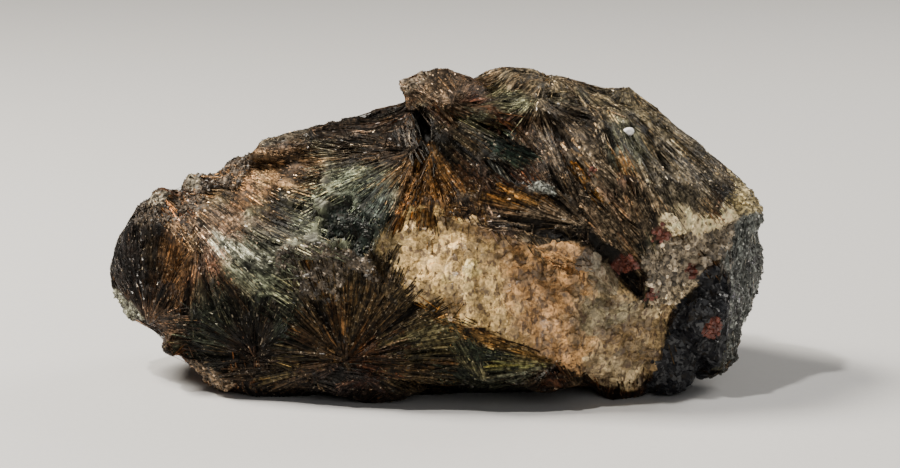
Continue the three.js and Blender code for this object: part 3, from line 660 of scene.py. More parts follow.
# The feldspar is cream at its left, orange from a slanting line on, and ochre at its right end.
CREAM = (1.0, 0.67, 0.27)
ORANGE_TAN = (0.7, 0.385, 0.155)
OCHRE = (0.66, 0.455, 0.21)
rough_edge = wander / (20 * MM)
to_orange = ramp(share_across + 0.4 * share_high - 0.375 + rough_edge, -0.03, 0.05)
back_orange = facing_back * ramp(swell(place, 15 * MM, 66) + 2 * rough_edge, -0.2, 0.2)
to_orange = np.maximum(to_orange, back_orange)
to_ochre = ramp(share_across - 0.45 + rough_edge, -0.03, 0.06)
feldspar_color = mixed(np.tile(CREAM, (len(place), 1)), ORANGE_TAN, to_orange)
feldspar_color = mixed(feldspar_color, OCHRE, to_ochre)
FELDSPAR_STAINS = [
    # across, high, reach across, reach up, colour, strength
    (0.2, 0.57, 0.09, 0.06, (0.24, 0.16, 0.09), 0.8),
    (-0.15, 0.48, 0.05, 0.08, (0.2, 0.16, 0.08), 0.7),
    (-0.03, 0.34, 0.07, 0.03, (0.3, 0.22, 0.12), 0.7),
    (0.445, 0.485, 0.04, 0.04, (0.08, 0.075, 0.065), 0.9),
    (0.53, 0.135, 0.03, 0.025, (0.95, 0.74, 0.44), 0.8),
    (0.6, 0.2, 0.02, 0.035, (0.9, 0.7, 0.4), 0.8),
    (0.46, 0.15, 0.03, 0.02, (0.9, 0.7, 0.4), 0.7),
    (0.575, 0.105, 0.02, 0.025, (0.17, 0.11, 0.055), 0.8),
    (0.625, 0.15, 0.018, 0.03, (0.2, 0.13, 0.07), 0.7),
    (0.49, 0.42, 0.05, 0.07, (0.26, 0.23, 0.16), 0.85),
    (0.49, 0.3, 0.1, 0.06, (0.34, 0.29, 0.17), 0.9),
    (0.41, 0.34, 0.014, 0.07, (0.7, 0.5, 0.27), 0.7),
    (0.56, 0.23, 0.09, 0.03, (0.36, 0.22, 0.1), 0.6),
    (0.22, 0.58, 0.03, 0.03, (0.12, 0.09, 0.08), 0.8),
    (0.27, 0.55, 0.02, 0.03, (0.1, 0.07, 0.06), 0.8),
    (-0.042, 0.56, 0.012, 0.02, (0.09, 0.05, 0.03), 0.9),
    (0.03, 0.587, 0.02, 0.015, (0.06, 0.04, 0.03), 0.9),
    (-0.022, 0.6, 0.012, 0.035, (0.08, 0.045, 0.03), 0.9),
    (0.096, 0.575, 0.02, 0.05, (0.2, 0.12, 0.06), 0.7),
    (0.125, 0.54, 0.012, 0.03, (0.13, 0.08, 0.05), 0.7),
    (0.3, 0.42, 0.04, 0.012, (0.16, 0.1, 0.05), 0.8),
    (0.57, 0.16, 0.06, 0.08, (0.3, 0.19, 0.08), 0.5),
    (0.52, 0.085, 0.1, 0.055, (0.82, 0.62, 0.34), 0.85),
    (0.62, 0.29, 0.07, 0.025, (0.7, 0.56, 0.33), 0.7),
]
feldspar_color = stained_and_painted_light(
    feldspar_color, FELDSPAR_STAINS, ragged=0.3 * swell(place, 3 * MM, 54), edge=1.15,
    softness=0.3,
)
browned = 0.6 * cloudy(5, 1.8, 0.8, 55, 0.5, 0.9)
feldspar_color = mixed(feldspar_color, (0.2, 0.12, 0.06), browned)
feldspar_color *= (0.72 + 0.4 * facet_tone["feldspar"])[:, None]

# The ground between the blades is painted darker than they are, as painted shade between them, and has a
# colour of its own on a patch.
PATCH_COLORS = {
    # The dark hollow's near black is its own dark green with painted shade of the recess.
    "dark hollow": (0.012, 0.018, 0.014), "grey patch": (0.1, 0.078, 0.055),
    "grey end": (0.185, 0.195, 0.178), "pale rim": (0.25, 0.17, 0.1),
    "pale nose": (0.22, 0.22, 0.16), "left crust": (0.078, 0.058, 0.04),
    "pale nub": (0.27, 0.23, 0.165), "pale knob": (0.22, 0.19, 0.135),
    "lip": (0.2, 0.155, 0.105), "granular": (0.32, 0.26, 0.18), "vein": (1.0, 0.8, 0.47),
    "yellow crust": (0.5, 0.4, 0.2), "pale seam": (0.7, 0.56, 0.36),
    "blue patch": (0.2, 0.21, 0.18), "aegirine": (0.012, 0.012, 0.014),
}
ground = fan_color * 0.55
for name, color in PATCH_COLORS.items():
    ground = mixed(ground, color, patch[name])
grainy = (0.6 + 0.8 * facet_tone["crust"])[:, None]
ground = ground * (1 + (grainy - 1) * (crust - 0.6 * patch["vein"])[:, None])
striped = swell(place * (1, 1, 0.2), 1.7 * MM, 71)[:, None]  # the grey end is ribbed upright
ground = ground * (1 + 0.45 * striped * patch["grey end"][:, None])
ground = ground + (feldspar_color - ground) * patch["feldspar"][:, None]
ground = mixed(ground, (0.1, 0.03, 0.02), reddish)


def keep(name, kind, values):
    """Keeps a value at each vertex of the skin under a name."""
    values = np.asarray(values, np.float32)
    attribute = rock.data.attributes.new(name, kind, "POINT")
    if kind == "FLOAT_COLOR":
        values = np.column_stack([values, np.ones(len(values), np.float32)])
    field = {"FLOAT": "value", "FLOAT_VECTOR": "vector", "FLOAT_COLOR": "color"}[kind]
    attribute.data.foreach_set(field, values.ravel())


# Finishes read these values, and what grows on the skin does so where one of them says.
well_inside = ramp(depth_in["feldspar"] + wander, 0.4 * MM, 1.5 * MM)
packed = patch["feldspar"] * np.where(facing_front > 0.5, well_inside, 1)
bold = crisp * (crispness > 0.9) * clear
crumbly = pitted * (
    1 - 0.5 * patch["grey end"] - 0.6 * patch["granular"] - 0.8 * patch["vein"]
)
keep("ground", "FLOAT_COLOR", np.clip(ground, 0, 1))
keep("fan_color", "FLOAT_COLOR", np.clip(fan_color, 0, 1))
keep("fibre_way", "FLOAT_VECTOR", fibre_way)
keep("fibre_place", "FLOAT_VECTOR", fibre_place)
keep("fibrous", "FLOAT", fibrous)
keep("crisp", "FLOAT", crisp)
keep("bold", "FLOAT", bold)
keep("tangled", "FLOAT", fibrous * (1 - 0.75 * bold))
keep("flaky", "FLOAT", np.clip(fibrous * (0.3 + bare) + 0.6 * patch["grey end"], 0, 1))
keep("feldspar", "FLOAT", patch["feldspar"])
keep("packed", "FLOAT", packed)
keep("sugary", "FLOAT", packed * (1 - 0.7 * to_orange))
keep("feldspar_color", "FLOAT_COLOR", np.clip(feldspar_color, 0, 1))
keep("aegirine", "FLOAT", patch["aegirine"])
keep("reddish", "FLOAT", reddish)
keep("crumbly", "FLOAT", np.clip(crumbly, 0, 1))
keep("granular", "FLOAT", patch["granular"])
keep("dirty", "FLOAT", 1 - 0.8 * patch["vein"])


class Shade:
    """A socket of a material's nodes. Arithmetic on it adds Math nodes."""

    def __init__(self, tree, socket):
        self.tree = tree
        self.socket = socket

    def _math(self, operation, *values):
        return self.tree.node("ShaderNodeMath", {"operation": operation}, dict(enumerate(values)))

    def __add__(self, other):
        return self._math("ADD", self, other)

    __radd__ = __add__

    def __mul__(self, other):
        return self._math("MULTIPLY", self, other)

    __rmul__ = __mul__

    def __sub__(self, other):
        return self._math("SUBTRACT", self, other)

    def __rsub__(self, other):
        return self._math("SUBTRACT", other, self)

    def __pow__(self, other):
        return self._math("POWER", self, other)


class Finish:
    """A material made of nodes, with one Principled shader. Scales are in swings a metre."""

    def __init__(self, name):
        self.material = bpy.data.materials.new(name)
        self.material.use_nodes = True
        self.nodes = self.material.node_tree.nodes
        self.links = self.material.node_tree.links
        self.principled = self.nodes["Principled BSDF"]

    def node(self, kind, settings, inputs, output=0):
        """Adds a node with its settings, then its sockets' values or links, and gives an output."""
        made = self.nodes.new(kind)
        for name, value in settings.items():
            setattr(made, name, value)
        for name, value in inputs.items():
            self._feed(made.inputs[name], value)
        return Shade(self, made.outputs[output])

    def _feed(self, socket, value):
        if isinstance(value, Shade):
            self.links.new(value.socket, socket)
        else:
            socket.default_value = value

    def feed(self, **inputs):
        """Sets the shader's sockets, each under its name with _ for a space."""
        for name, value in inputs.items():
            self._feed(self.principled.inputs[name.replace("_", " ")], value)
        return self.material

    def kept(self, name, output="Fac"):
        """A value that the mesh keeps under a name."""
        return self.node("ShaderNodeAttribute", {"attribute_name": name}, {}, output)

    def blend(self, share, first, second, how="MIX"):
        settings = {"data_type": "RGBA", "blend_type": how}
        return self.node("ShaderNodeMix", settings, {0: share, 6: first, 7: second}, output=2)

    def vector(self, operation, *values):
        settings = {"operation": operation}
        return self.node("ShaderNodeVectorMath", settings, dict(enumerate(values)))

    def cleaved(self, cell, share):
        """A normal that leans its own way on each cell of a mosaic, as cleavage faces do."""
        lean = self.vector("MULTIPLY", self.vector("SUBTRACT", cell, (0.5, 0.5, 0.5)), share)
        normal = self.node("ShaderNodeNewGeometry", {}, {}, "Normal")
        return self.vector("NORMALIZE", self.vector("ADD", normal, lean))

    def place(self):
        """Where a point is on its object, in metres."""
        return self.node("ShaderNodeTexCoord", {}, {}, "Object")

    def noise(self, vector, scale, detail=2.0):
        inputs = {"Vector": vector, "Scale": scale, "Detail": detail}
        return self.node("ShaderNodeTexNoise", {}, inputs)

    def bump(self, height, strength, distance, **normal):
        """A normal bent by a height that stands for up to that distance, in metres."""
        inputs = {"Strength": strength, "Distance": distance, "Height": height, **normal}
        return self.node("ShaderNodeBump", {}, inputs)

    def narrowed(self, value, low, high):
        """0 at low, 1 at high, and straight between them, also where low is the larger."""
        inputs = {"Value": value, "From Min": low, "From Max": high}
        return self.node("ShaderNodeMapRange", {}, inputs)

    def grey(self, value):
        """The grey with that lightness."""
        return self.node("ShaderNodeCombineColor", {}, {0: value, 1: value, 2: value})


def broken_feldspar(finish, grain):
    """Colour, height and cells of the feldspar: a mosaic of cleaved grains, sugary where cream."""
    warp = finish.node("ShaderNodeTexNoise", {}, {"Vector": grain, "Scale": 600.0}, "Color")
    bent = finish.vector("MULTIPLY_ADD", warp, (0.0016, 0.0016, 0.0016), grain)
    cells = {"Vector": bent, "Scale": 430.0}
    faces = finish.node("ShaderNodeTexVoronoi", {}, cells, "Color")
    cell = finish.node("ShaderNodeSeparateColor", {}, {"Color": faces})
    seams = finish.node("ShaderNodeTexVoronoi", {"feature": "DISTANCE_TO_EDGE"}, cells)
    seams = finish.narrowed(seams, 0.05, 0.0)
    sugar = finish.narrowed(finish.noise(grain, 1400.0, 3.0), 0.4, 0.6)
    upright = finish.vector("MULTIPLY", grain, (1, 1, 0.5))
    clouds = finish.narrowed(finish.noise(upright, 300.0, 4.0), 0.35, 0.65)
    spots = finish.narrowed(finish.noise(upright, 1000.0, 4.0), 0.46, 0.39)
    blotches = finish.narrowed(finish.noise(bent, 330.0, 6.0), 0.46, 0.34)
    lightness = (0.47 + 0.8 * cell) * (0.6 + 0.7 * sugar) * (0.64 + 0.6 * clouds)
    tone = finish.kept("feldspar_color", "Color")
    tone = finish.blend(1.0, tone, finish.grey(lightness), "MULTIPLY")
    tone = finish.blend(blotches * 0.7, tone, (0.18, 0.125, 0.07, 1))
    tone = finish.blend(spots * 0.85, tone, (0.1, 0.062, 0.038, 1))
    tone = finish.blend(seams * clouds * 0.22, tone, (0.85, 0.64, 0.38, 1))
    return tone, 0.5 * sugar - 0.2 * seams - 0.3 * spots, faces


def fibre_light(finish, fibres, grain):
    """How light the fibres are: whole bundles of them lie in shade, and others are dulled."""
    bundle = finish.narrowed(finish.noise(fibres, 1.3, 3.0), 0.36, 0.64)
    strand = finish.narrowed(finish.noise(fibres, 4.5), 0.38, 0.62)
    dulled = finish.narrowed(finish.noise(grain, 650.0, 3.0), 0.34, 0.66)
    return (0.18 + 1.5 * bundle) * (0.5 + strand) * (0.5 + 0.95 * dulled)


skin = Finish("rock_skin_finish")
fibres = skin.kept("fibre_place", "Vector")
grain = skin.place()
streak = skin.noise(fibres, 2.4, 4.0)
speckle = skin.noise(grain, 1100.0)
mottle = skin.noise(grain, 330.0, 3.0)
is_fibrous = skin.kept("fibrous")
is_feldspar = skin.kept("feldspar")
is_black = skin.kept("aegirine")
tone_of_fibres = skin.narrowed(streak, 0.38, 0.62)
tone_of_specks = skin.narrowed(speckle * 0.6 + mottle * 0.4, 0.4, 0.62)
tone_of_grains = 0.5 + 0.9 * tone_of_specks
lightness = is_fibrous * (0.25 + 1.2 * tone_of_fibres) * (0.35 + 1.1 * tone_of_specks)
lightness = lightness * fibre_light(skin, fibres, grain) + (1 - is_fibrous) * tone_of_grains
color = skin.blend(1.0, skin.kept("ground", "Color"), skin.grey(lightness), "MULTIPLY")
is_crust = 1 - is_fibrous - is_feldspar
is_dirty = is_crust * skin.kept("dirty")
dark_specks = skin.narrowed(skin.noise(grain, 520.0, 1.0), 0.42, 0.34) * is_dirty
color = skin.blend(dark_specks * 0.8, color, (0.02, 0.016, 0.012, 1))
feldspar_tone, feldspar_height, feldspar_faces = broken_feldspar(skin, grain)
color = skin.blend(is_feldspar, color, feldspar_tone)
height = is_fibrous * (0.6 * streak + 0.4 * speckle) + is_feldspar * feldspar_height
height = height + is_crust * (0.5 * mottle + 0.5 * speckle)
cleaved_way = skin.cleaved(feldspar_faces, is_feldspar * 0.8 + is_crust * 0.4)
rock.data.materials.append(skin.feed(
    Base_Color=color,
    Metallic=is_fibrous * 0.35,
    Roughness=0.42 + 0.25 * mottle - 0.22 * is_black,
    Normal=skin.bump(height, 0.8, 0.0005, Normal=cleaved_way),
    Specular_IOR_Level=0.15,
))
rock.data.polygons.foreach_set("use_smooth", np.ones(len(rock.data.polygons), bool))
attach(rock, "root")
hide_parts("astrophyllite_rock")

# ---------------------------------------------------------------------------
# The astrophyllite blades: thin flat crystals, bronze to gold with a pearly
# lustre, that lie along the fans with their roots in the rock. Most are under
# half a millimetre wide, and each catches the light at an angle of its own.
# ---------------------------------------------------------------------------


class Growth:
    """A Geometry Nodes tree with named inputs. Its last node is its output."""

    KINDS = {float: "NodeSocketFloat", int: "NodeSocketInt", str: "NodeSocketString"}

    def __init__(self, name, inputs):
        self.tree = bpy.data.node_groups.new(name, "GeometryNodeTree")
        self._socket("Geometry", "INPUT", "NodeSocketGeometry")
        for label, default in inputs.items():
            made = self._socket(label, "INPUT", self.KINDS.get(type(default), "NodeSocketMaterial"))
            if default is not None:
                made.default_value = default
        self._socket("Geometry", "OUTPUT", "NodeSocketGeometry")
        self.given = self.tree.nodes.new("NodeGroupInput")

    def _socket(self, label, side, kind):
        return self.tree.interface.new_socket(label, in_out=side, socket_type=kind)

    def node(self, kind, settings, inputs, output=0):
        """Adds a node with its settings, then its sockets' values or links, and gives an output."""
        made = self.tree.nodes.new(kind)
        for name, value in settings.items():
            setattr(made, name, value)
        for name, value in inputs.items():
            if isinstance(value, bpy.types.NodeSocket):
                self.tree.links.new(value, made.inputs[name])
            else:
                made.inputs[name].default_value = value
        return made.outputs[output]

    def ask(self, name):
        """One of the tree's named inputs."""
        return self.given.outputs[name]

    def math(self, operation, first, second):
        return self.node("ShaderNodeMath", {"operation": operation}, {0: first, 1: second})

    def vector(self, x, y, z):
        return self.node("ShaderNodeCombineXYZ", {}, {0: x, 1: y, 2: z})

    def scale(self, vector, factor):
        parts = {0: vector, "Scale": factor}
        return self.node("ShaderNodeVectorMath", {"operation": "SCALE"}, parts)

    def kept(self, name, kind="FLOAT"):
        settings = {"data_type": kind}
        return self.node("GeometryNodeInputNamedAttribute", settings, {"Name": name})

    def chance(self, low, high, seed):
        """A random number for each element."""
        inputs = {2: low, 3: high, "Seed": seed}
        return self.node("FunctionNodeRandomValue", {"data_type": "FLOAT"}, inputs, output=1)

    def either_way(self, most, seed):
        """A random number for each element, up to the most either way from 0."""
        return self.chance(self.math("MULTIPLY", most, -1), most, seed)

    def scattered(self):
        """Points on the skin, as dense as the attribute named by Where says, and its normals."""
        density = self.math("MULTIPLY", self.kept(self.ask("Where")), self.ask("Density"))
        points = self.node("GeometryNodeDistributePointsOnFaces", {}, {
            "Mesh": self.ask("Geometry"), "Seed": self.ask("Seed"), "Density": density,
        })
        return points, points.node.outputs["Normal"]

    def set_out(self, points, shape, laid, own_turn, size):
        """The shape on each point, with a random number that its colour follows, as one mesh."""
        turned = self.node("FunctionNodeRotateRotation", {"rotation_space": "LOCAL"}, {
            "Rotation": laid, "Rotate By": own_turn,
        })
        placed = self.node("GeometryNodeInstanceOnPoints", {}, {
            "Points": points, "Instance": shape, "Rotation": turned, "Scale": size,
        })
        settings = {"data_type": "FLOAT", "domain": "INSTANCE"}
        value = self.chance(0.0, 1.0, self.math("ADD", self.ask("Seed"), 2))
        shaded = self.node("GeometryNodeStoreNamedAttribute", settings, {
            "Geometry": placed, "Name": "shade", "Value": value,
        })
        return self.node("GeometryNodeRealizeInstances", {}, {"Geometry": shaded})

    def end(self, geometry):
        """Gives everything its material, and the tree its output."""
        finish = {"Geometry": geometry, "Material": self.ask("Finish")}
        finished = self.node("GeometryNodeSetMaterial", {}, finish)
        out = self.tree.nodes.new("NodeGroupOutput")
        self.tree.links.new(finished, out.inputs[0])
        return self.tree


def within_box(piece):
    """Holds a piece's vertices inside the box of the solid."""
    corners = np.clip(vertex_values(piece.data, "co"), box_low, box_high)
    piece.data.vertices.foreach_set("co", corners.astype(np.float32).ravel())
    piece.data.update()
    return piece


def grown(name, tree, **values):
    """A piece of its own, grown by a tree on the rock's skin."""
    piece = linked(name, rock.data)
    growing = piece.modifiers.new("growth", "NODES")
    growing.node_group = tree
    for item in tree.interface.items_tree:
        label = item.name.replace(" ", "_")
        if item.in_out == "INPUT" and label in values:
            growing[item.identifier] = values[label]
    return plain_mesh(piece)


def lath(growth):
    """One blade, a metre long along X: flat on top, a keel below, and narrow at its tip."""
    bar = growth.node("GeometryNodeMeshCone", {"fill_type": "NGON"}, {
        "Vertices": 3, "Side Segments": 1, "Radius Top": 0.28, "Radius Bottom": 0.58, "Depth": 1.0,
    })
    lying = growth.node("GeometryNodeTransform", {}, {
        "Geometry": bar, "Translation": (-0.35, 0, 0), "Rotation": (0, math.pi / 2, 0),
    })
    position = growth.node("GeometryNodeInputPosition", {}, {})
    return growth.node("GeometryNodeStoreNamedAttribute", {"data_type": "FLOAT_VECTOR"}, {
        "Geometry": lying, "Name": "on_blade", "Value": position,
    })


def middle_of(growth, corners):
    """The middle of each run of so many corners: 3 are an end of a blade, and 6 a blade."""
    position = growth.node("GeometryNodeInputPosition", {}, {})
    number = growth.node("GeometryNodeInputIndex", {}, {})
    group = growth.node("FunctionNodeIntegerMath", {"operation": "DIVIDE_FLOOR"}, {
        0: number, 1: corners,
    })
    total = growth.node("GeometryNodeAccumulateField", {"data_type": "FLOAT_VECTOR"}, {
        "Value": position, "Group ID": group,
    }, output="Total")
    return growth.scale(total, 1 / corners)


def skin_near(growth, point):
    """The skin's nearest place to a point, and how far it is."""
    found = growth.node("GeometryNodeProximity", {"target_element": "FACES"}, {
        "Target": growth.ask("Geometry"), "Sample Position": point,
    })
    return found, found.node.outputs["Distance"]


def close_to_skin(growth, blades):
    """Brings both ends of each blade to the skin, and takes out the blades that span a gap."""
    end_middle = middle_of(growth, 3)
    skin_there, distance = skin_near(growth, end_middle)
    share = growth.math("MINIMUM", 1.0, growth.math("DIVIDE", growth.ask("Play"), distance))
    way_out = growth.node("ShaderNodeVectorMath", {"operation": "SUBTRACT"}, {
        0: end_middle, 1: skin_there,
    })
    correction = growth.scale(way_out, growth.math("SUBTRACT", share, 1.0))
    laid = growth.node("GeometryNodeSetPosition", {}, {"Geometry": blades, "Offset": correction})
    _, gap = skin_near(growth, middle_of(growth, 6))
    return growth.node("GeometryNodeDeleteGeometry", {"domain": "POINT"}, {
        "Geometry": laid, "Selection": growth.math("GREATER_THAN", gap, growth.ask("Gap")),
    })


def laid_blades():
    """Blades laid along the skin's fibres, each rolled, raised and turned a little its own way."""
    growth = Growth("laid blades", {
        "Density": 1.0, "Shortest": 0.003, "Longest": 0.008, "Narrowest": 0.0002,
        "Widest": 0.0005, "Thickness": 0.35, "Roll": 0.6, "Rise": 0.05, "Stray": 0.09,
        "Play": 0.00015, "Gap": 0.0009, "Where": "fibrous", "Seed": 1, "Finish": None,
    })
    points, normal = growth.scattered()
    along = growth.node("FunctionNodeAlignRotationToVector", {"axis": "X"}, {
        "Vector": growth.kept("fibre_way", "FLOAT_VECTOR"),
    })
    laid = growth.node("FunctionNodeAlignRotationToVector", {"axis": "Z", "pivot_axis": "X"}, {
        "Rotation": along, "Vector": normal,
    })
    seed = growth.ask("Seed")
    own_turn = growth.vector(
        *(growth.either_way(growth.ask(name), seed) for name in ("Roll", "Rise", "Stray")),
    )
    length = growth.chance(growth.ask("Shortest"), growth.ask("Longest"), seed)
    next_seed = growth.math("ADD", seed, 1)
    width = growth.chance(growth.ask("Narrowest"), growth.ask("Widest"), next_seed)
    thickness = growth.math("MULTIPLY", width, growth.ask("Thickness"))
    size = growth.vector(length, width, thickness)
    blades = growth.set_out(points, lath(growth), laid, own_turn, size)
    return growth.end(close_to_skin(growth, blades))


blade = Finish("astrophyllite_blade_finish")
shade = blade.kept("shade")
fan_tone = blade.kept("fan_color", "Color")
object_place = blade.place()
cloud = blade.noise(object_place, 160.0, 3.0)
speckle = blade.narrowed(blade.noise(object_place, 1300.0, 1.0), 0.35, 0.65)
own_place = blade.vector(
    "MULTIPLY_ADD", blade.kept("on_blade", "Vector"), (1.2, 5.0, 5.0),
    blade.node("ShaderNodeCombineXYZ", {}, {0: shade * 90.0}),
)
along_streak = blade.narrowed(blade.noise(own_place, 1.0, 2.0), 0.35, 0.65)
gold = blade.narrowed(shade * 0.6 + cloud * 0.7, 0.84, 1.0)
gilded = blade.vector("MULTIPLY", fan_tone, (2.6, 2.1, 1.5))
tone = blade.blend(gold * 0.7, fan_tone, gilded)
glint = blade.narrowed(blade.noise(object_place, 1900.0, 1.0), 0.66, 0.74)
tone = blade.blend(glint * 0.6, tone, (0.6, 0.49, 0.34, 1))
lightness = (0.4 + 0.85 * shade) * (0.4 + 0.85 * along_streak) * (0.35 + 1.0 * speckle)
lightness = lightness * fibre_light(blade, blade.kept("fibre_place", "Vector"), object_place)
tone = blade.blend(1.0, tone, blade.grey(lightness), "MULTIPLY")
blade_finish = blade.feed(
    Base_Color=tone,
    Metallic=0.45 + 0.3 * gold,
    Roughness=0.14 + 0.32 * cloud,
    Normal=blade.bump(along_streak + 0.5 * speckle, 0.5, 0.0001),
    Specular_IOR_Level=0.15,
)

blade_tree = laid_blades()
PER_CM2 = 1e4
BLADES = {
    # where they grow, their length and width in mm, how many on a cm2, their seed
    "blades_matted": {"on": "tangled", "long": (1.2, 3.2), "wide": (0.1, 0.22), "per_cm2": 55, "seed": 13},
    "blades_fine": {"on": "tangled", "long": (2.5, 6.0), "wide": (0.12, 0.27), "per_cm2": 85, "seed": 11},
    "blades_long": {"on": "crisp", "long": (4.5, 10.0), "wide": (0.2, 0.42), "per_cm2": 170, "seed": 11},
    "blades_bold": {"on": "bold", "long": (7.0, 13.0), "wide": (0.4, 0.85), "per_cm2": 150, "seed": 11},
}
for name, kind in BLADES.items():
    shortest, longest = kind["long"]
    narrowest, widest = kind["wide"]
    blades = grown(
        name, blade_tree, Density=kind["per_cm2"] * PER_CM2, Shortest=shortest * MM,
        Longest=longest * MM, Narrowest=narrowest * MM, Widest=widest * MM, Where=kind["on"],
        Seed=kind["seed"], Finish=blade_finish,
    )
    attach(within_box(blades), "root")

# ---------------------------------------------------------------------------
# Broken mica: ends and flakes of blades, about a millimetre long, left on the
# skin where the blades were crushed when the rock broke. Some face the light.
# ---------------------------------------------------------------------------
flake = Finish("mica_flake_finish")
shade = flake.kept("shade")
flake_tone = flake.blend(
    1.0, flake.kept("fan_color", "Color"), flake.grey(0.2 + 3.2 * shade ** 4.0), "MULTIPLY",
)
silvery = flake.narrowed(shade, 0.86, 1.0)
flake_tone = flake.blend(silvery * 0.55, flake_tone, (0.6, 0.49, 0.34, 1))
flake_cloud = flake.noise(flake.place(), 2400.0)
flake_finish = flake.feed(
    Base_Color=flake_tone,
    Metallic=0.2 + 0.4 * silvery,
    Roughness=0.2 + 0.3 * flake_cloud,
    Normal=flake.bump(flake_cloud, 0.3, 0.0001),
)
flakes = grown(
    "mica_flakes", blade_tree, Where="flaky", Density=105 * PER_CM2, Shortest=0.4 * MM,
    Longest=1.3 * MM, Narrowest=0.2 * MM, Widest=0.5 * MM, Thickness=0.4, Roll=1.2, Rise=0.4,
    Stray=0.7, Play=0.3 * MM, Seed=5, Finish=flake_finish,
)
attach(within_box(flakes), "root")

# ---------------------------------------------------------------------------
# The crusts: crumbs of feldspar, zeolite and weathered mica that stand a
# little out of the pale and grey zones and of the crest, and the coarser grains
# of the nest beside the aegirine, all grown together as the vein cooled.
# ---------------------------------------------------------------------------


def block(growth):
    """A cleavage block a metre long: a box with its end faces and one side leaning."""
    box = growth.node("GeometryNodeMeshCube", {}, {"Size": (1, 0.8, 0.7)})
    position = growth.node("GeometryNodeInputPosition", {}, {})
    x, y, z = (
        growth.node("ShaderNodeSeparateXYZ", {}, {"Vector": position}, axis) for axis in range(3)
    )
    leaning = growth.vector(
        growth.math("ADD", x, growth.math("MULTIPLY", z, 0.35)),
        growth.math("ADD", y, growth.math("MULTIPLY", x, 0.22)),
        z,
    )
    return growth.node("GeometryNodeSetPosition", {}, {"Geometry": box, "Position": leaning})


def crumb(growth):
    """An angular crumb about a metre across."""
    ball = growth.node("GeometryNodeMeshIcoSphere", {}, {"Radius": 0.5, "Subdivisions": 1})
    position = growth.node("GeometryNodeInputPosition", {}, {})
    dented = growth.scale(position, growth.chance(0.7, 1.1, 5))
    return growth.node("GeometryNodeSetPosition", {}, {"Geometry": ball, "Position": dented})


def strewn(name, shape):
    """Many of one shape, standing on the skin or sunk a little into it, each turned its own way."""
    growth = Growth(name, {
        "Density": 1.0, "Smallest": 0.0005, "Largest": 0.001, "Flatness": 0.3, "Tumble": 0.4,
        "Sunk": 0.0001, "Where": "crumbly", "Seed": 1, "Finish": None,
    })
    points, normal = growth.scattered()
    seed = growth.ask("Seed")
    sunk = growth.node("GeometryNodeSetPosition", {}, {
        "Geometry": points,
        "Offset": growth.scale(normal, growth.math("MULTIPLY", growth.ask("Sunk"), -1)),
    })
    standing = growth.node("FunctionNodeAlignRotationToVector", {"axis": "Z"}, {"Vector": normal})
    tumble = growth.ask("Tumble")
    own_turn = growth.vector(
        growth.either_way(tumble, seed),
        growth.either_way(tumble, growth.math("ADD", seed, 1)),
        growth.chance(0.0, 2 * math.pi, seed),
    )
    length = growth.chance(growth.ask("Smallest"), growth.ask("Largest"), seed)
    width = growth.math("MULTIPLY", length, growth.chance(0.55, 1.0, growth.math("ADD", seed, 3)))
    height = growth.math("MULTIPLY", length, growth.ask("Flatness"))
    size = growth.vector(length, width, height)
    return growth.end(growth.set_out(sunk, shape(growth), standing, own_turn, size))


crumbs = Finish("crust_crumb_finish")
shade = crumbs.kept("shade")
bright = crumbs.narrowed(shade, 0.88, 1.0)
crumb_tone = crumbs.blend(
    1.0, crumbs.kept("ground", "Color"), crumbs.grey(0.25 + 1.9 * shade ** 2.0 + bright * 2.0),
    "MULTIPLY",
)
crumb_cloud = crumbs.noise(crumbs.place(), 1500.0, 3.0)
crumb_tone = crumbs.blend(bright * 0.2, crumb_tone, (0.65, 0.57, 0.46, 1))
dirty = crumbs.narrowed(crumb_cloud, 0.5, 0.4)
crumb_tone = crumbs.blend(dirty * 0.7, crumb_tone, (0.03, 0.025, 0.02, 1))
crumb_finish = crumbs.feed(
    Base_Color=crumb_tone,
    Roughness=0.35 + 0.4 * crumb_cloud,
    Normal=crumbs.bump(crumb_cloud, 0.5, 0.0002),
)
block_tree = strewn("strewn blocks", block)
crumb_tree = strewn("strewn crumbs", crumb)
CRUST_PIECES = {
    # their shape, where they grow, their size and how deep they sit in mm, how many on a cm2
    "crust_grains": {
        "shape": block_tree, "on": "crumbly", "wide": (0.25, 0.95), "sunk": 0.12, "per_cm2": 300,
    },
    "nest_grains": {
        "shape": crumb_tree, "on": "granular", "wide": (0.9, 2.6), "sunk": 0.3, "per_cm2": 120,
    },
}
for name, kind in CRUST_PIECES.items():
    smallest, largest = kind["wide"]
    grains = grown(
        name, kind["shape"], Where=kind["on"], Density=kind["per_cm2"] * PER_CM2,
        Smallest=smallest * MM, Largest=largest * MM, Flatness=0.7, Tumble=0.9,
        Sunk=kind["sunk"] * MM, Seed=6, Finish=crumb_finish,
    )
    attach(within_box(grains), "root")

# ---------------------------------------------------------------------------
# The feldspar: glassy cleaved grains, cream to orange, packed into the broad
# pocket. Their low caps stand a fraction of a millimetre out of its broken face,
# and a fine sugar of splinters lies between them, most of it in the cream part.
# ---------------------------------------------------------------------------
feldspar = Finish("feldspar_grain_finish")
grain_place = feldspar.place()
grain_tone, grain_height, grain_faces = broken_feldspar(feldspar, grain_place)
grain_way = feldspar.cleaved(grain_faces, (0.8, 0.8, 0.8))
shade = feldspar.kept("shade")
grain_tone = feldspar.blend(1.0, grain_tone, feldspar.grey(0.82 + 0.36 * shade), "MULTIPLY")
feldspar_finish = feldspar.feed(
    Base_Color=grain_tone,
    Roughness=0.3 + 0.3 * feldspar.noise(grain_place, 900.0),
    Normal=feldspar.bump(grain_height, 0.5, 0.0002, Normal=grain_way),
)
FELDSPAR_PIECES = {
    # their shape, where they grow, their size in mm, how flat they are, how many on a cm2
    "feldspar_grains": {
        "shape": crumb_tree, "on": "packed", "wide": (1.2, 3.6), "flat": 0.1, "per_cm2": 70,
    },
    "feldspar_sugar": {
        "shape": block_tree, "on": "sugary", "wide": (0.25, 0.8), "flat": 0.25, "per_cm2": 270,
    },
}
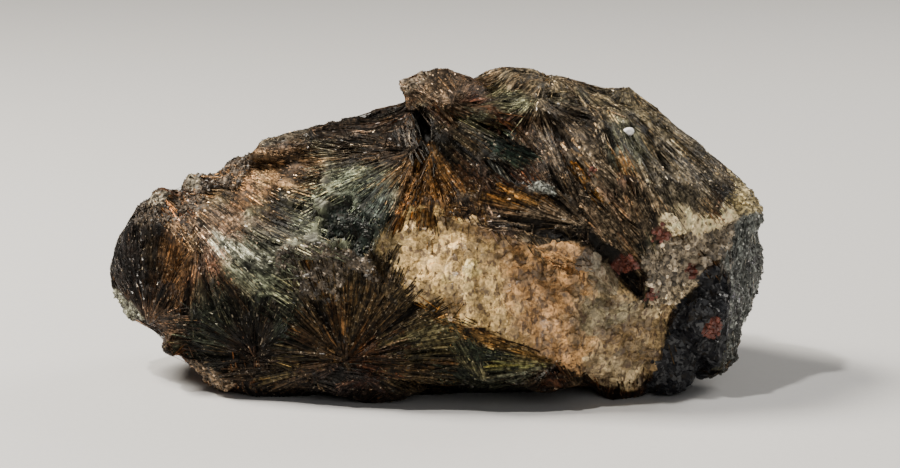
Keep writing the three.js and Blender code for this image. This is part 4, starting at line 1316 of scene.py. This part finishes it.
for name, kind in FELDSPAR_PIECES.items():
    smallest, largest = kind["wide"]
    grains = grown(
        name, kind["shape"], Where=kind["on"], Density=kind["per_cm2"] * PER_CM2,
        Smallest=smallest * MM, Largest=largest * MM, Flatness=kind["flat"], Tumble=0.12,
        Sunk=0.07 * MM, Seed=7, Finish=feldspar_finish,
    )
    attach(within_box(grains), "root")

# ---------------------------------------------------------------------------
# The aegirine: short black prisms, glassy on their long faces, jumbled together
# at the broad end, where they grew before the feldspar closed round them.
# ---------------------------------------------------------------------------
prism = Finish("aegirine_finish")
shade = prism.kept("shade")
prism_cloud = prism.noise(prism.place(), 1200.0, 3.0)
prism_glow = prism.narrowed(shade, 0.6, 1.0) * prism_cloud
prism_tone = prism.blend(prism_glow, (0.008, 0.009, 0.012, 1), (0.05, 0.052, 0.055, 1))
prism_finish = prism.feed(
    Base_Color=prism_tone,
    Roughness=0.12 + 0.4 * prism_cloud,
    Normal=prism.bump(prism_cloud, 0.4, 0.0002),
)
aegirine_prisms = grown(
    "aegirine_prisms", block_tree, Where="aegirine", Density=130 * PER_CM2,
    Smallest=0.5 * MM, Largest=1.7 * MM, Flatness=0.5, Tumble=0.4, Sunk=0.25 * MM, Seed=8,
    Finish=prism_finish,
)
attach(within_box(aegirine_prisms), "root")

# ---------------------------------------------------------------------------
# The red grains: brownish red eudialyte, a few crumbs together in each of some
# small nests that grew between the feldspar and the blades.
# ---------------------------------------------------------------------------
red = Finish("eudialyte_finish")
shade = red.kept("shade")
red_cloud = red.noise(red.place(), 1300.0, 3.0)
red_tone = red.blend(shade, (0.09, 0.022, 0.014, 1), (0.23, 0.07, 0.045, 1))
red_tone = red.blend(red.narrowed(red_cloud, 0.5, 0.4) * 0.6, red_tone, (0.04, 0.02, 0.015, 1))
red_finish = red.feed(
    Base_Color=red_tone,
    Roughness=0.25 + 0.3 * red_cloud,
    Normal=red.bump(red_cloud, 0.4, 0.0002),
)
red_grains = grown(
    "red_grains", crumb_tree, Where="reddish", Density=150 * PER_CM2, Smallest=0.8 * MM,
    Largest=2.2 * MM, Flatness=0.8, Tumble=1.0, Sunk=0.0, Seed=9, Finish=red_finish,
)
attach(within_box(red_grains), "root")

# ---------------------------------------------------------------------------
# The white fleck: one chalky flake of natrolite that sticks to the broad end's
# upper slope.
# ---------------------------------------------------------------------------
FLECK_SIZE = (2.5 * MM, 1.4 * MM, 1.7 * MM)
FLECK_STANDS = 0.7 * MM  # how far its middle stands out of the skin
fleck_place, fleck_way = on_rock("front", 0.561, 0.825)
fleck_shape = bmesh.new()
bmesh.ops.create_icosphere(fleck_shape, subdivisions=2, radius=0.5)
fleck_form = np.array([corner.co for corner in fleck_shape.verts])
fleck_form *= (1 + 0.25 * swell(fleck_form, 0.4, 61))[:, None] * FLECK_SIZE
for corner, spot in zip(fleck_shape.verts, fleck_form):
    corner.co = Vector(spot) + fleck_place + FLECK_STANDS * fleck_way
fleck_mesh = bpy.data.meshes.new("white_fleck")
fleck_shape.to_mesh(fleck_mesh)
fleck_shape.free()
fleck = linked("white_fleck", fleck_mesh)
chalk = Finish("white_fleck_finish")
chalk_cloud = chalk.noise(chalk.place(), 2500.0, 3.0)
fleck.data.materials.append(chalk.feed(
    Base_Color=chalk.blend(chalk_cloud, (0.82, 0.81, 0.77, 1), (0.95, 0.94, 0.91, 1)),
    Roughness=0.6 + 0.2 * chalk_cloud,
))
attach(fleck, "root")

# ---------------------------------------------------------------------------
# The floor: a plain pale sheet of paper that the rock lies on, laid flat and
# much larger than the rock, so that its edges are out of sight.
# ---------------------------------------------------------------------------
FLOOR_SIZE = 3.0
floor_mesh = bpy.data.meshes.new("floor")
half = FLOOR_SIZE / 2
floor_mesh.from_pydata(
    [(-half, -half, 0), (half, -half, 0), (half, half, 0), (-half, half, 0)], [], [(0, 1, 2, 3)],
)
floor = linked("floor", floor_mesh)
paper = Finish("floor_paper")
paper_grain = paper.noise(paper.place(), 600.0)
floor.data.materials.append(paper.feed(
    Base_Color=paper.grey(0.55 + 0.04 * paper_grain), Roughness=0.85,
))

# ---------------------------------------------------------------------------
# The lamps and the room: a soft warm lamp high at the left, a small one beside
# it that makes the blades glint, weak fill from the front right, one lamp from
# behind at the right, and a dim grey room.
# ---------------------------------------------------------------------------
LAMP_AIM = Vector((0, 0, 0.03))
LAMPS = {
    # where it stands, its size in metres, its power in watts, its colour
    "key lamp": ((-0.55, 0.05, 0.75), 0.3, 18, (1.0, 0.93, 0.82)),
    "sparkle lamp": ((-0.35, -0.25, 0.8), 0.05, 6, (1.0, 0.95, 0.88)),
    "fill lamp": ((0.35, -0.9, 0.5), 0.7, 1.7, (1.0, 0.97, 0.93)),
    "rim lamp": ((0.6, 0.45, 0.5), 0.4, 4.5, (1.0, 0.95, 0.88)),
}
ROOM_GREY = 0.9
ROOM_LIGHT = 0.09
for name, (position, size, power, color) in LAMPS.items():
    light = bpy.data.lights.new(name, "AREA")
    light.size = size
    light.energy = power
    light.color = color
    lamp = linked(name, light)
    lamp.location = position
    lamp.rotation_euler = (LAMP_AIM - Vector(position)).to_track_quat("-Z", "Y").to_euler()

world = bpy.data.worlds.new("room")
world.use_nodes = True
room = world.node_tree.nodes["Background"]
room.inputs["Color"].default_value = (ROOM_GREY, ROOM_GREY, ROOM_GREY, 1)
room.inputs["Strength"].default_value = ROOM_LIGHT
bpy.context.scene.world = world

# ---------------------------------------------------------------------------
# The camera: a little above the rock, looking down on its front at 12 degrees,
# and far enough off that its ends aren't stretched.
# ---------------------------------------------------------------------------
CAMERA_DISTANCE = 0.65
CAMERA_ELEVATION = math.radians(12)
FRAME_WIDTH = 0.2033  # what the view spans at the rock's middle
SENSOR_WIDTH = 36  # mm, as the lens's length is
AIM = Vector((0.00286, 0, 0.0323))
camera_data = bpy.data.cameras.new("camera")
camera_data.sensor_width = SENSOR_WIDTH
camera_data.lens = SENSOR_WIDTH * CAMERA_DISTANCE / FRAME_WIDTH
camera_data.clip_start = 0.01
camera = linked("camera", camera_data)
back = Vector((0, -math.cos(CAMERA_ELEVATION), math.sin(CAMERA_ELEVATION)))
camera.location = AIM + back * CAMERA_DISTANCE
camera.rotation_euler = (-back).to_track_quat("-Z", "Y").to_euler()
bpy.context.scene.camera = camera
